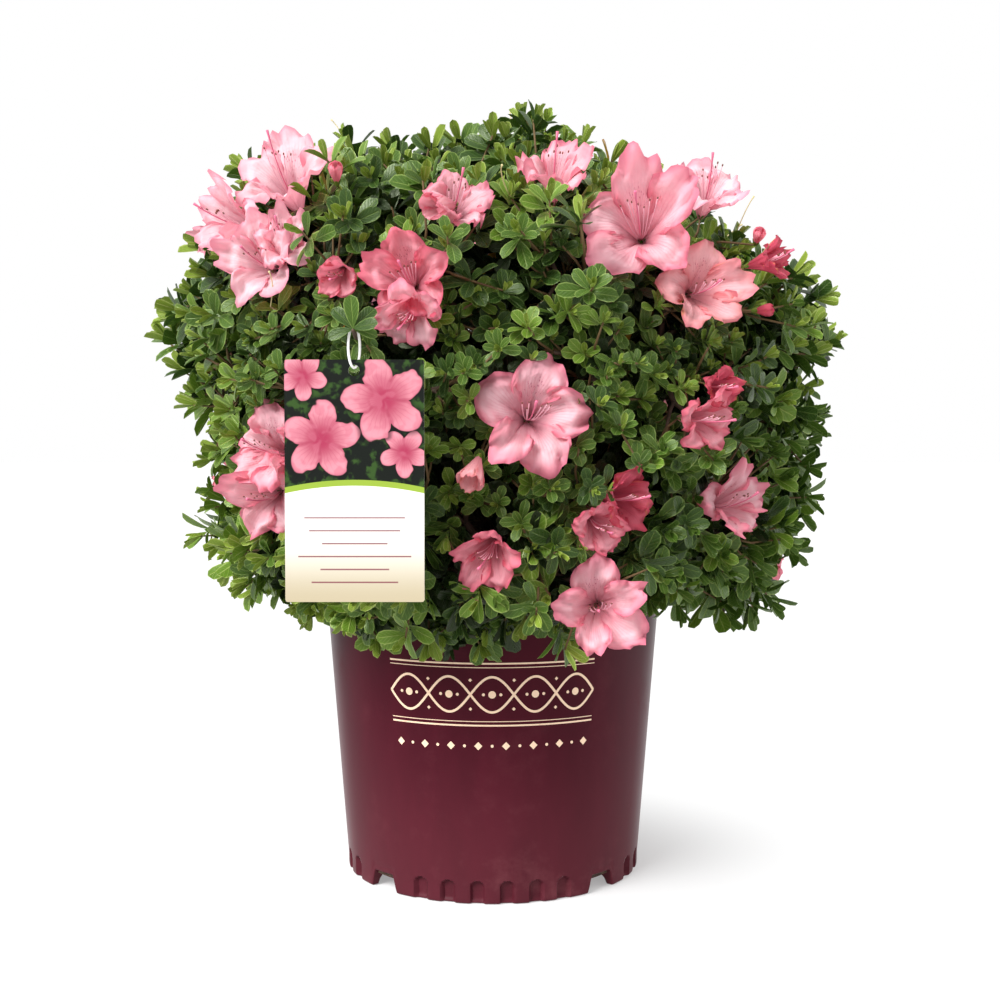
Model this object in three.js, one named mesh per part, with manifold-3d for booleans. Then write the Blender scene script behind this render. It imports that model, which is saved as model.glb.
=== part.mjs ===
// A flowering azalea in its round plastic nursery pot, in millimetres, +Z up.
// The origin is on the pot's axis, at the level of its flat underside.
import * as THREE from 'three';
import { mergeVertices } from 'three/addons/utils/BufferGeometryUtils.js';
import Module from 'manifold-3d';

const wasm = await Module();
wasm.setup();

// Driving sizes
const clearance = 0.3; // between two pieces that touch

const pot = {
  height: 230,
  footRadius: 115,
  rimRadius: 131.5, // the wall just under the lip
  lipRadius: 137.5,
  lipDepth: 23,
  lipRound: 2,
  lipThickness: 3.5,
  wall: 2.5,
  padRadius: 62, // the flat middle of the underside
  floorLift: 7, // how high the floor stands between pad and feet
  floorSlope: 3,
  footWidth: 5,
  notches: 4, // drain notches between the feet
  firstNotch: 45,
  notchWidth: 24,
  notchHeight: 13,
  notchSlope: 2,
  sides: 36,
};

const mixTop = 205;

const trunk = {
  foot: [5, 2],
  head: [10, -4],
  top: 266,
  radius: 12.5,
  topRadius: 9,
  flare: 7,
  flareHeight: 9,
  sides: 9,
  steps: 5,
};

const crown = {
  x: 8, // the crown stands a little to one side of the pot's axis
  middle: 400,
  top: 578,
  skirt: 184,
  radius: 264,
  upperPower: 2.3, // how square the outline is above and below the middle
  lowerPower: 6,
  waist: 16,
  waistHeight: 285,
  waistSpread: 62,
  innerRadius: 152, // the open middle of the underside, round the pot
  lump: 9, // how far the middle of a mass stands out of the crown's outline
};

// Rings of foliage masses, from the skirt to the top: radius and height of their middles,
// azimuth of the first one, and how far each one reaches, as a share of the crown's outline
const massRings = [
  { name: 'skirt', radius: 190, height: 260, first: -90, reach: [0.99, 0.96, 0.97, 1, 0.98, 0.97, 0.98] },
  { name: 'side', radius: 192, height: 404, first: -64, reach: [1, 1.02, 1, 0.99, 1, 1.02, 1] },
  { name: 'shoulder', radius: 138, height: 500, first: -54, reach: [0.98, 0.96, 0.99, 1.05, 1.06] },
  { name: 'top', radius: 0, height: 512, first: 0, reach: [1] },
];
const spaceGap = 0.6; // each mass keeps this far from the space of its neighbours

// The dense inside of a mass
const core = { radius: 84, uneven: 0.12, least: 30, margin: 6, inset: 44 };

const bough = {
  radius: 5.2,
  tipRadius: 3.4,
  entry: 0.6, // share of the way from its foot to the middle of its mass
  sides: 5,
  steps: 4,
};

// Where the boughs of each ring start, as a share of the limb that carries them, and their sag
const boughStart = {
  side: { lowest: 0.45, spread: 0.45, sag: 12 },
  shoulder: { lowest: 0.12, spread: 0.48, sag: 8 },
  skirt: { lowest: 0.3, spread: 0, sag: -6 },
  top: { lowest: 0.94, spread: 0, sag: 0 },
};

const spray = {
  count: 104,
  heart: 0.3, // share of the way from a mass's stem to its middle at which its twigs part
  inset: 25, // from the crown's outline back to the tip of a twig
  jitter: 7,
  fork: 0.36, // share of the way to the middle of its tips at which a twig forks
  most: 3, // tips that leave one fork
  tipRadius: 1.3,
  taper: 0.8,
  overlap: 1, // each twig starts this far back inside the one that carries it
  upturn: 0.35,
  leaves: 4,
  firstLeaf: 2.5, // from the tip of the twig back to its leaves
  leafStep: 5,
};

// Leaves stand for several real ones each, and are larger than life
const leaf = {
  length: 43,
  width: 19,
  thickness: 2,
  sunk: 0.5,
  thickAt: 10,
  wideAt: 25,
  smallest: 0.85,
  largest: 1.15,
  spread: [35, 72], // degrees from the twig
  tries: 24,
};

// Flowers that show from the front: azimuth, height, width, then how far the flower
// is turned sideways and upwards from straight out, in degrees
const frontFlowers = [
  [-132, 522, 68, 28, 15],
  [-138, 484, 52, -2, -1],
  [-128, 452, 66, 22, -4],
  [-113, 432, 40, 15, -27],
  [-103, 436, 64, 7, 0],
  [-103, 404, 50, 1, -35],
  [-96, 490, 54, 24, 19],
  [-81, 518, 56, -5, 29],
  [-71, 480, 82, -27, -1],
  [-49, 518, 56, -33, 17],
  [-61, 430, 64, -15, -5],
  [-86, 352, 76, 0, 9],
  [-58, 348, 48, 18, 2],
  [-48, 298, 58, -10, 24],
  [-70, 300, 48, 35, 25],
  [-76, 232, 66, -16, 24],
  [-93, 262, 54, -11, -3],
  [-130, 332, 62, 14, 15],
  [-131, 298, 58, 25, 8],
];
const backFlowers = {
  count: 17,
  first: 6,
  sweep: 168,
  height: [235, 532],
  width: [50, 72],
  turn: 40,
  lift: [-5, 25],
};
const flower = {
  depth: 0.62, // of its width, from the rim back to the stalk
  throat: 0.13,
  throatAt: 0.5,
  hollow: 0.42,
  notch: 0.7,
  rimDrop: 0.12,
  rounds: 10,
  stand: 6, // the rim's distance inside the crown's outline
  steepness: 0.7,
  lift: [-0.9, 1.35],
};

// A hang tag on a closed plastic loop, in front of the crown, and the twig that holds it
const tag = {
  x: -82,
  y: -272,
  bottom: 237.5,
  width: 84,
  height: 146,
  thickness: 0.8,
  hole: 3.4,
  holeDrop: 6.5,
};
const loop = { width: 10, height: 25, wire: 0.8, turn: 52, hang: 1.6, sides: 5, steps: 14 };
const hook = { radius: 1.1, footRadius: 2.4, past: 7, drop: 1.3, inside: 45, rise: 5 };

const seeds = { crown: 7, backFlowers: 41 };

// Seeded random numbers from 0 to 1, so that each build grows the same shrub
function seededRandom(seed) {
  let state = seed;
  return () => {
    state = (Math.imul(state, 1664525) + 1013904223) >>> 0;
    return state / 4294967296;
  };
}

const vec = (x, y, z) => new THREE.Vector3(x, y, z);
const radians = THREE.MathUtils.degToRad;
const { clamp, lerp } = THREE.MathUtils;
const up = vec(0, 1, 0); // the axis of three's cylinders

function around(radius, azimuth, z) {
  return vec(crown.x + radius * Math.cos(radians(azimuth)), radius * Math.sin(radians(azimuth)), z);
}

// Solids and meshes
function toSolid(geometry) {
  const bare = geometry.clone();
  bare.deleteAttribute('normal');
  bare.deleteAttribute('uv');
  const merged = mergeVertices(bare, 1e-4);
  const index = merged.index.array;
  const kept = [];
  for (let i = 0; i < index.length; i += 3) {
    const [a, b, c] = index.slice(i, i + 3);
    if (a !== b && b !== c && c !== a) kept.push(a, b, c);
  }
  const vertProperties = new Float32Array(merged.attributes.position.array);
  return new wasm.Manifold(new wasm.Mesh({ numProp: 3, vertProperties, triVerts: new Uint32Array(kept) }));
}

function toGeometry(solid) {
  const mesh = solid.getMesh();
  const geometry = new THREE.BufferGeometry();
  geometry.setAttribute('position', new THREE.BufferAttribute(mesh.vertProperties, 3));
  geometry.setIndex(new THREE.BufferAttribute(mesh.triVerts, 1));
  geometry.computeVertexNormals();
  return geometry;
}

function cornersOf(solid) {
  const { vertProperties } = solid.getMesh();
  const count = vertProperties.length / 3;
  return Array.from({ length: count }, (_, i) => vec(...vertProperties.slice(3 * i, 3 * i + 3)));
}

const joinAll = (solids) => solids.reduce((whole, solid) => whole.add(solid));
const cutAll = (solid, cutters) => cutters.reduce((left, cutter) => left.subtract(cutter), solid);
const touches = (one, other) => !one.intersect(other).isEmpty();

// The largest body of a solid, without loose scraps and sealed hollows
function largestBody(solid) {
  return solid.decompose().reduce((best, body) => (body.volume() > best.volume() ? body : best));
}

// A geometry whose +Y is turned to a direction, and whose origin is moved to a place
function aim(geometry, place, direction, turn = 0) {
  const swing = new THREE.Quaternion().setFromUnitVectors(up, direction.clone().normalize());
  const spin = new THREE.Quaternion().setFromAxisAngle(up, turn);
  return geometry.applyQuaternion(swing.multiply(spin)).translate(place.x, place.y, place.z);
}

function turned(profile, sides) {
  const points = profile.map(([radius, height]) => new THREE.Vector2(radius, height));
  return new THREE.LatheGeometry(points, sides);
}

// A round limb with flat ends: a cylinder bent along a curve, its radius set at each step
function bentLimb(curve, radiusAt, { sides, steps }) {
  const geometry = new THREE.CylinderGeometry(1, 1, 1, sides, steps);
  const places = geometry.attributes.position;
  const frames = curve.computeFrenetFrames(steps);
  for (let i = 0; i < places.count; i += 1) {
    const share = places.getY(i) + 0.5;
    const step = Math.round(share * steps);
    const point = curve.getPointAt(share);
    point.addScaledVector(frames.binormals[step], places.getX(i) * radiusAt(share));
    point.addScaledVector(frames.normals[step], places.getZ(i) * radiusAt(share));
    places.setXYZ(i, point.x, point.y, point.z);
  }
  return toSolid(geometry);
}

// A straight round piece from one point to another
function rod(from, to, radius, tipRadius, sides = 3) {
  const along = to.clone().sub(from);
  const cylinder = new THREE.CylinderGeometry(tipRadius, radius, along.length(), sides, 1);
  return toSolid(aim(cylinder.translate(0, along.length() / 2, 0), from, along));
}

function box(low, high) {
  const size = high.clone().sub(low);
  const middle = low.clone().add(high).multiplyScalar(0.5);
  return toSolid(new THREE.BoxGeometry(...size).translate(...middle));
}

// Pot and potting mix
function innerFloor(gap) {
  const floor = pot.floorLift + pot.wall + gap;
  return [
    [0, pot.wall + gap],
    [pot.padRadius - pot.wall - gap, pot.wall + gap],
    [pot.padRadius - gap, floor],
    [pot.footRadius - pot.wall - gap, floor],
  ];
}

function notchCutter(azimuth) {
  const half = pot.notchWidth / 2;
  const outline = new THREE.Shape();
  outline.moveTo(-half - pot.notchSlope, -1);
  outline.lineTo(half + pot.notchSlope, -1);
  outline.lineTo(half - pot.notchSlope, pot.notchHeight);
  outline.lineTo(pot.notchSlope - half, pot.notchHeight);
  const cutter = new THREE.ExtrudeGeometry(outline, { depth: 3 * pot.footWidth, bevelEnabled: false });
  cutter.rotateX(Math.PI / 2).translate(0, pot.footRadius + pot.footWidth, 0);
  return toSolid(cutter.rotateZ(radians(azimuth - 90)));
}

function buildPot() {
  const lipBottom = pot.height - pot.lipDepth;
  const profile = [
    [0, 0],
    [pot.padRadius, 0],
    [pot.padRadius + pot.floorSlope, pot.floorLift],
    [pot.footRadius - pot.footWidth - pot.floorSlope, pot.floorLift],
    [pot.footRadius - pot.footWidth, 0],
    [pot.footRadius, 0],
    [pot.rimRadius, lipBottom],
    [pot.lipRadius, lipBottom + pot.lipRound],
    [pot.lipRadius, pot.height - pot.lipRound],
    [pot.lipRadius - pot.lipRound, pot.height],
    [pot.lipRadius - pot.lipThickness, pot.height],
    [pot.rimRadius - pot.wall, lipBottom - pot.lipRound],
    ...innerFloor(0).reverse(),
  ];
  const shell = toSolid(turned(profile, pot.sides).rotateX(Math.PI / 2));
  const step = 360 / pot.notches;
  return cutAll(shell, Array.from({ length: pot.notches }, (_, i) => notchCutter(pot.firstNotch + step * i)));
}

function buildMix() {
  const slope = (pot.rimRadius - pot.footRadius) / (pot.height - pot.lipDepth);
  const edge = pot.footRadius - pot.wall - 2 * clearance + slope * mixTop;
  const profile = [...innerFloor(clearance), [edge, mixTop], [0, mixTop]];
  return toSolid(turned(profile, pot.sides).rotateX(Math.PI / 2));
}

// Trunk: a flat cut on the mix, a root flare, and a lean to its fork
const trunkCurve = new THREE.QuadraticBezierCurve3(
  vec(...trunk.foot, mixTop + clearance),
  vec(...trunk.foot, (mixTop + trunk.top) / 2),
  vec(...trunk.head, trunk.top),
);

function trunkRadius(share) {
  const height = share * (trunk.top - mixTop);
  return lerp(trunk.radius, trunk.topRadius, share) + trunk.flare * Math.exp(-height / trunk.flareHeight);
}

// Foliage masses, and the space round its middle that each one keeps to
const masses = massRings.flatMap((ring) => ring.reach.map((reach, i) => ({
  name: ring.reach.length > 1 ? `${ring.name}_mass_${i + 1}` : `${ring.name}_mass`,
  middle: around(ring.radius, ring.first + (360 / ring.reach.length) * i, ring.height),
  reach,
  ring,
})));

function nearestMass(point) {
  const distance = (mass) => mass.middle.distanceTo(point);
  return masses.reduce((best, mass) => (distance(mass) < distance(best) ? mass : best));
}

function insideSpace(mass, point, gap = spaceGap) {
  return masses.filter((other) => other !== mass).every((other) => {
    const across = other.middle.clone().sub(mass.middle).normalize();
    const halfWay = other.middle.clone().add(mass.middle).multiplyScalar(0.5);
    return point.clone().sub(halfWay).dot(across) < -gap;
  });
}

// The crown's outline: its radius at each height
function crownRadius(z) {
  const above = z > crown.middle;
  const share = Math.abs(z - crown.middle) / (above ? crown.top - crown.middle : crown.middle - crown.skirt);
  const power = above ? crown.upperPower : crown.lowerPower;
  const full = crown.radius * Math.max(0, 1 - share ** power) ** (1 / power);
  return full - crown.waist * Math.exp(-(((z - crown.waistHeight) / crown.waistSpread) ** 2));
}

const crownMiddle = vec(crown.x, 0, crown.middle);
const outwardAt = (point) => point.clone().sub(crownMiddle).normalize();

// A point of the outline, moved out where it is near the middle of its mass
function crownPoint(azimuth, z) {
  const point = around(crownRadius(z), azimuth, z);
  const mass = nearestMass(point);
  const bulge = crown.lump * (1 - (mass.middle.distanceTo(point) / mass.ring.height) ** 2);
  point.addScaledVector(outwardAt(point), bulge);
  return vec(crown.x + (point.x - crown.x) * mass.reach, point.y * mass.reach, point.z);
}

// Whether a point lies inside the outline by a depth, and clear of the pot
function insideOutline(point, depth) {
  const outer = point.clone().addScaledVector(outwardAt(point), depth);
  const within = outer.z < crown.top && outer.z > crown.skirt
    && Math.hypot(outer.x - crown.x, outer.y) < crownRadius(outer.z);
  const beside = Math.hypot(point.x, point.y) > pot.lipRadius + core.margin;
  return within && (beside || point.z > pot.height + core.margin);
}

// Points spread evenly over the outline by a golden-angle spiral
function crownPoints(count) {
  const stations = [];
  let area = 0;
  for (let degree = 0; degree <= 180; degree += 0.5) {
    const height = Math.cos(radians(degree));
    const z = crown.middle + height * (height > 0 ? crown.top - crown.middle : crown.middle - crown.skirt);
    const radius = Math.max(0, crownRadius(z));
    if (degree > 90 && radius < crown.innerRadius) break;
    const last = stations.at(-1) ?? { z, radius };
    area += Math.hypot(radius - last.radius, z - last.z) * (radius + last.radius);
    stations.push({ z, radius, area });
  }
  const goldenAngle = 180 * (3 - Math.sqrt(5));
  return Array.from({ length: count }, (_, i) => {
    const station = stations.find((one) => one.area >= (area * (i + 0.5)) / count);
    return crownPoint(goldenAngle * i, station.z);
  });
}

// Flowers: a funnel with five lobes, its stalk end on the twig
function backRow() {
  const random = seededRandom(seeds.backFlowers);
  const golden = (Math.sqrt(5) - 1) / 2;
  return Array.from({ length: backFlowers.count }, (_, i) => [
    backFlowers.first + (backFlowers.sweep * (i + 0.5)) / backFlowers.count,
    lerp(...backFlowers.height, (i * golden) % 1),
    lerp(...backFlowers.width, random()),
    backFlowers.turn * (random() - 0.5),
    lerp(...backFlowers.lift, random()),
  ]);
}

function placeFlower([azimuth, height, width, sideways, upwards]) {
  const rim = crownPoint(azimuth, height);
  const steep = Math.asin(outwardAt(rim).z);
  const lift = clamp(steep * flower.steepness + radians(upwards), ...flower.lift);
  const turn = radians(azimuth + sideways);
  const facing = vec(Math.cos(turn) * Math.cos(lift), Math.sin(turn) * Math.cos(lift), Math.sin(lift));
  const base = rim.clone().addScaledVector(facing, -flower.stand - flower.depth * width);
  return { base, facing, width, mass: nearestMass(base) };
}

function flowerSolid({ base, facing, width }) {
  const depth = flower.depth * width;
  const rimStation = 2;
  const profile = [
    [0, 0],
    [flower.throat * width, flower.throatAt * depth],
    [width / 2, depth],
    [0, flower.hollow * depth],
  ];
  const geometry = turned(profile, flower.rounds);
  const places = geometry.attributes.position;
  for (let i = 0; i < places.count; i += 1) {
    const column = Math.floor(i / profile.length);
    if (i % profile.length === rimStation && column % 2) {
      const y = places.getY(i) - flower.rimDrop * width;
      places.setXYZ(i, places.getX(i) * flower.notch, y, places.getZ(i) * flower.notch);
    }
  }
  return toSolid(aim(geometry, base, facing));
}

// The space that a flower takes, a little off its stalk end
function flowerSpace({ base, facing, width }) {
  const depth = flower.depth * width;
  const cone = new THREE.CylinderGeometry(width / 2 + 1, flower.throat * width, depth, flower.rounds);
  return toSolid(aim(cone.translate(0, depth / 2 + 10 * clearance, 0), base, facing));
}

const flowers = [...frontFlowers, ...backRow()].map(placeFlower);
flowers.forEach((one) => {
  one.space = flowerSpace(one);
});

// Hang tag, its loop and the twig that it hangs on
const tagTop = tag.bottom + tag.height;
const loopMiddle = vec(tag.x, tag.y, tagTop - tag.holeDrop + loop.hang + loop.height / 2);
const hookHeight = loopMiddle.z + loop.height / 2 - loop.wire - hook.drop - hook.radius;
const hookTip = vec(tag.x, tag.y - hook.past, hookHeight);

function buildTag() {
  const half = tag.width / 2;
  const outline = new THREE.Shape();
  outline.moveTo(-half, 0);
  outline.lineTo(half, 0);
  outline.lineTo(half, tag.height);
  outline.lineTo(-half, tag.height);
  const hole = new THREE.Path();
  hole.absarc(0, tag.height - tag.holeDrop, tag.hole, 0, Math.PI * 2);
  outline.holes.push(hole);
  const shape = { depth: tag.thickness, bevelEnabled: false, curveSegments: 6 };
  const card = new THREE.ExtrudeGeometry(outline, shape);
  return toSolid(card.rotateX(Math.PI / 2).translate(tag.x, tag.y + tag.thickness / 2, tag.bottom));
}

// The loop is a ring stretched to an oval, its wire kept round
function buildLoop() {
  const wireShare = 0.1;
  const ring = new THREE.TorusGeometry(1, wireShare, loop.sides, loop.steps);
  const places = ring.attributes.position;
  for (let i = 0; i < places.count; i += 1) {
    const along = vec(places.getX(i), places.getY(i), 0);
    const off = ((along.length() - 1) / wireShare) * loop.wire;
    along.normalize();
    const spot = vec((along.x * loop.width) / 2, (along.y * loop.height) / 2, 0);
    spot.addScaledVector(vec(along.x / loop.width, along.y / loop.height, 0).normalize(), off);
    places.setXYZ(i, spot.x, spot.y, (places.getZ(i) / wireShare) * loop.wire);
  }
  return toSolid(ring.rotateX(Math.PI / 2).rotateZ(radians(loop.turn)).translate(...loopMiddle));
}

// Spaces round the pot, the tag and the loop that leaves and twigs keep out of
const room = { pot: 2, tag: 1, loop: 6, front: 40 };
const lipFoot = pot.height - pot.lipDepth;
const fixedSpaces = [
  toSolid(turned([
    [0, 0],
    [pot.rimRadius + room.pot, 0],
    [pot.rimRadius + room.pot, lipFoot - 3 * room.pot],
    [pot.lipRadius + room.pot, lipFoot],
    [pot.lipRadius + room.pot, pot.height + room.pot],
    [0, pot.height + room.pot],
  ], pot.sides).rotateX(Math.PI / 2)),
  box(
    vec(tag.x - tag.width / 2 - room.tag, tag.y - room.front, tag.bottom - room.tag),
    vec(tag.x + tag.width / 2 + room.tag, tag.y + 2 * room.tag, tagTop + room.tag),
  ),
  box(
    loopMiddle.clone().sub(vec(room.loop, room.front, loop.height / 2)),
    loopMiddle.clone().add(vec(room.loop, room.loop, loop.height / 2 + room.pot)),
  ),
];

// Boughs: one to each mass, from the trunk, the leader or a bough of the side ring
function routeBough(mass, carrier, i) {
  const { lowest, spread, sag } = boughStart[mass.ring.name];
  const golden = (Math.sqrt(5) - 1) / 2;
  const from = carrier.getPointAt(lowest + spread * ((i * golden) % 1));
  const end = from.clone().lerp(mass.middle, bough.entry);
  const bend = from.clone().lerp(end, 0.5).sub(vec(0, 0, sag));
  mass.curve = new THREE.QuadraticBezierCurve3(from, bend, end);
}

const ringOf = (name) => masses.filter((mass) => mass.ring.name === name);
const [leader] = ringOf('top');
routeBough(leader, trunkCurve, 0);
ringOf('side').forEach((mass, i) => routeBough(mass, trunkCurve, i));
ringOf('shoulder').forEach((mass, i) => routeBough(mass, leader.curve, i));
ringOf('skirt').forEach((mass, i) => routeBough(mass, ringOf('side')[i].curve, i));

const boughRadius = (share) => lerp(bough.radius, bough.tipRadius, share);

// The space that a bough takes with its clearance, its end included
function boughSpace({ curve }) {
  const along = curve.getTangentAt(1);
  const back = curve.getPointAt(1).addScaledVector(along, -bough.tipRadius);
  const end = curve.getPointAt(1).addScaledVector(along, clearance);
  const wide = bough.tipRadius + 2 * clearance;
  const limb = bentLimb(curve, (share) => boughRadius(share) + 2 * clearance, bough);
  return limb.add(rod(back, end, wide, wide, bough.sides));
}

// Cores, leaves and twigs
function coreSolid(mass, random) {
  const geometry = new THREE.IcosahedronGeometry(1, 1);
  const sphere = mergeVertices(geometry.deleteAttribute('normal').deleteAttribute('uv'));
  const places = sphere.attributes.position;
  for (let i = 0; i < places.count; i += 1) {
    const outward = vec(places.getX(i), places.getY(i), places.getZ(i));
    let far = core.radius * (1 - core.uneven * random());
    const at = () => mass.middle.clone().addScaledVector(outward, far);
    const fits = () => insideSpace(mass, at(), core.margin) && insideOutline(at(), core.inset);
    while (far > core.least && !fits()) far -= 1;
    places.setXYZ(i, ...at());
  }
  return toSolid(sphere);
}

// A leaf has a root, a tip, two sides and a keel under its midrib
function leafSolid(root, direction, turn, size) {
  const geometry = new THREE.SphereGeometry(1, 3, 2);
  const places = geometry.attributes.position;
  for (let i = 0; i < places.count; i += 1) {
    const [x, y, z] = [places.getX(i), places.getY(i), places.getZ(i)];
    if (y > 0.5) places.setXYZ(i, 0, leaf.length * size, 0);
    else if (y < -0.5) places.setXYZ(i, 0, -leaf.sunk, 0);
    else if (x < -0.5) places.setXYZ(i, -leaf.thickness, leaf.thickAt, 0);
    else places.setXYZ(i, 0, leaf.wideAt * size, (Math.sign(z) * leaf.width * size) / 2);
  }
  return toSolid(aim(geometry, root, direction, turn));
}

// Tips in two halves, parted across the way in which they spread most
function splitTips(tips) {
  const spread = (axis) => {
    const places = tips.map((tip) => tip.place[axis]);
    return Math.max(...places) - Math.min(...places);
  };
  const axis = ['x', 'y', 'z'].reduce((best, one) => (spread(one) > spread(best) ? one : best));
  const sorted = [...tips].sort((a, b) => a.place[axis] - b.place[axis]);
  const half = Math.ceil(sorted.length / 2);
  return [sorted.slice(0, half), sorted.slice(half)];
}

// A twig forks towards the middle of its tips until few enough are left
function growTwigs(from, tips, addTwig) {
  if (tips.length <= spray.most) {
    tips.forEach((tip) => addTwig(from, tip));
    return;
  }
  const middle = tips.reduce((sum, tip) => sum.add(tip.place), vec(0, 0, 0)).divideScalar(tips.length);
  const fork = from.clone().lerp(middle, spray.fork);
  addTwig(from, { place: fork, radius: spray.tipRadius * Math.sqrt(tips.length) });
  splitTips(tips).forEach((half) => growTwigs(fork, half, addTwig));
}

// Leaves stand round the twig's tip, each tried at a few angles until it fits
function addLeaves(tip, along, tryLeaf, random) {
  const swing = new THREE.Quaternion().setFromUnitVectors(up, tip.axis);
  const start = random() * Math.PI * 2;
  for (let i = 0; i < spray.leaves; i += 1) {
    const root = tip.place.clone().addScaledVector(along, -spray.firstLeaf - spray.leafStep * i);
    let placed = false;
    for (let attempt = 0; attempt < leaf.tries && !placed; attempt += 1) {
      const turn = start + ((i + (attempt ? random() - 0.5 : 0)) * Math.PI * 2) / spray.leaves;
      const tilt = radians(lerp(...leaf.spread, random()));
      const size = lerp(leaf.smallest, leaf.largest, random());
      const heading = vec(Math.sin(tilt) * Math.cos(turn), Math.cos(tilt), Math.sin(tilt) * Math.sin(turn));
      placed = tryLeaf(leafSolid(root, heading.applyQuaternion(swing), random() * Math.PI, size));
    }
  }
}

function growMass(mass, tips, limbSpaces, random) {
  const along = mass.curve.getTangentAt(1);
  const foot = mass.curve.getPointAt(1).addScaledVector(along, clearance);
  const heart = foot.clone().addScaledVector(along, spray.heart * foot.distanceTo(mass.middle));
  const otherFlowers = flowers.filter((one) => one.mass !== mass).map((one) => one.space);
  const inside = cutAll(coreSolid(mass, random), [...limbSpaces, ...otherFlowers, ...fixedSpaces]);
  const pieces = [rod(foot, heart, bough.tipRadius, bough.tipRadius, bough.sides), inside];
  const blades = [inside];

  const fits = (solid, ownFlower) => (
    cornersOf(solid).every((corner) => insideSpace(mass, corner))
    && ![...fixedSpaces, ...limbSpaces].some((space) => touches(space, solid))
    && !flowers.some((one) => one !== ownFlower && touches(one.space, solid)));

  const tryLeaf = (blade) => {
    if (!fits(blade) || blades.some((other) => touches(other, blade))) return false;
    blades.push(blade);
    pieces.push(blade);
    return true;
  };

  growTwigs(heart, tips, (from, tip) => {
    const heading = tip.place.clone().sub(from).normalize();
    const back = from.clone().addScaledVector(heading, -spray.overlap);
    const radius = tip.radius ?? spray.tipRadius / spray.taper;
    const twig = rod(back, tip.place, radius, radius * spray.taper);
    if (!fits(twig, tip.flower)) return;
    pieces.push(twig);
    if (tip.flower) pieces.push(flowerSolid(tip.flower));
    if (tip.axis) addLeaves(tip, heading, tryLeaf, random);
  });

  // The tag's loop hangs on a twig of its own
  if (nearestMass(hookTip) === mass) {
    const knee = hookTip.clone().add(vec(0, hook.inside, -hook.rise));
    const lap = vec(0, spray.overlap, 0);
    pieces.push(rod(mass.middle, knee, hook.footRadius, hook.footRadius));
    pieces.push(rod(knee.clone().add(lap), hookTip, hook.footRadius, hook.radius));
  }
  return largestBody(joinAll(pieces));
}

function growMasses(limbSpaces) {
  const random = seededRandom(seeds.crown);
  const tips = crownPoints(spray.count).map((point) => {
    const axis = outwardAt(point).add(vec(0, 0, spray.upturn)).normalize();
    const shake = vec(random() - 0.5, random() - 0.5, random() - 0.5).multiplyScalar(spray.jitter);
    return { place: point.addScaledVector(axis, -spray.inset).add(shake), axis };
  });
  const stalks = flowers.map((one) => ({
    place: one.base.clone().addScaledVector(one.facing, spray.tipRadius),
    flower: one,
  }));
  const owner = (tip) => tip.flower?.mass ?? nearestMass(tip.place);
  return masses.map((mass) => {
    const own = [...tips, ...stalks].filter((tip) => owner(tip) === mass);
    return growMass(mass, own, limbSpaces, random);
  });
}

// The plant and its pot
const finish = {
  pot: { color: 0x5c1a33, roughness: 0.42 },
  mix: { color: 0x3d2a1e, roughness: 0.95 },
  bark: { color: 0x6b5240, roughness: 0.85 },
  foliage: { color: 0x4a7436, roughness: 0.6 },
  card: { color: 0xf2efe6, roughness: 0.5 },
  plastic: { color: 0xf4f4f2, roughness: 0.35 },
};

const azalea = new THREE.Group();

function addMesh(name, solid, look) {
  const mesh = new THREE.Mesh(toGeometry(solid), new THREE.MeshStandardMaterial({ ...look, metalness: 0 }));
  mesh.name = name;
  azalea.add(mesh);
}

addMesh('pot', buildPot(), finish.pot);
addMesh('potting_mix', buildMix(), finish.mix);
addMesh('trunk', bentLimb(trunkCurve, trunkRadius, trunk), finish.bark);

// Each bough is cut clear of the limbs before it
const limbSpaces = [bentLimb(trunkCurve, (share) => trunkRadius(share) + 1.5 * clearance, trunk)];
['top', 'side', 'shoulder', 'skirt'].flatMap(ringOf).forEach((mass) => {
  const limb = cutAll(bentLimb(mass.curve, boughRadius, bough), limbSpaces);
  addMesh(mass.name.replace('mass', 'bough'), largestBody(limb), finish.bark);
  limbSpaces.push(boughSpace(mass));
});

growMasses(limbSpaces).forEach((solid, i) => addMesh(masses[i].name, solid, finish.foliage));

addMesh('tag', buildTag(), finish.card);
addMesh('tag_loop', buildLoop(), finish.plastic);

export default azalea;
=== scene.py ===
import math

import bmesh
import bpy
import numpy as np
from mathutils import Matrix, Quaternion, Vector, noise


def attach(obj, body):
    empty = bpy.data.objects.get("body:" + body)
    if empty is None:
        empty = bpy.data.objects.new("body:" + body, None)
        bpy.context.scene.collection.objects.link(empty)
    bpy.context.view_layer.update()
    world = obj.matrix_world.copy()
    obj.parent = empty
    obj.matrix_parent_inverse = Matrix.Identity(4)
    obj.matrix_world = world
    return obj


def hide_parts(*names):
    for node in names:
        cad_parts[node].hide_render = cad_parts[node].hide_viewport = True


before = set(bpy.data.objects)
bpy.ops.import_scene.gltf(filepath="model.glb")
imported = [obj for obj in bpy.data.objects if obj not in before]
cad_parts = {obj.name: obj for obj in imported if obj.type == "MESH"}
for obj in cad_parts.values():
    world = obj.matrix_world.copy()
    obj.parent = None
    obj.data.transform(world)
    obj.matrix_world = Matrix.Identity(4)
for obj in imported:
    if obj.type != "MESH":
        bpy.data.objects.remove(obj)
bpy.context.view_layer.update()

nodeNames = list(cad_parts)
massNames = [name for name in nodeNames if 'mass' in name]
boughNames = [name for name in nodeNames if 'bough' in name]
up = Vector((0, 0, 1))
goldenAngle = math.pi * (3 - math.sqrt(5))
goldenShare = (math.sqrt(5) - 1) / 2
print('frame:', len(nodeNames), 'nodes')


# Small helpers
def seededRandom(seed):
    # the same numbers at every run
    state = seed

    def draw():
        nonlocal state
        state = (state * 1664525 + 1013904223) % 4294967296
        return state / 4294967296
    return draw


def lerp(low, high, share):
    return low + (high - low) * share


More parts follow.
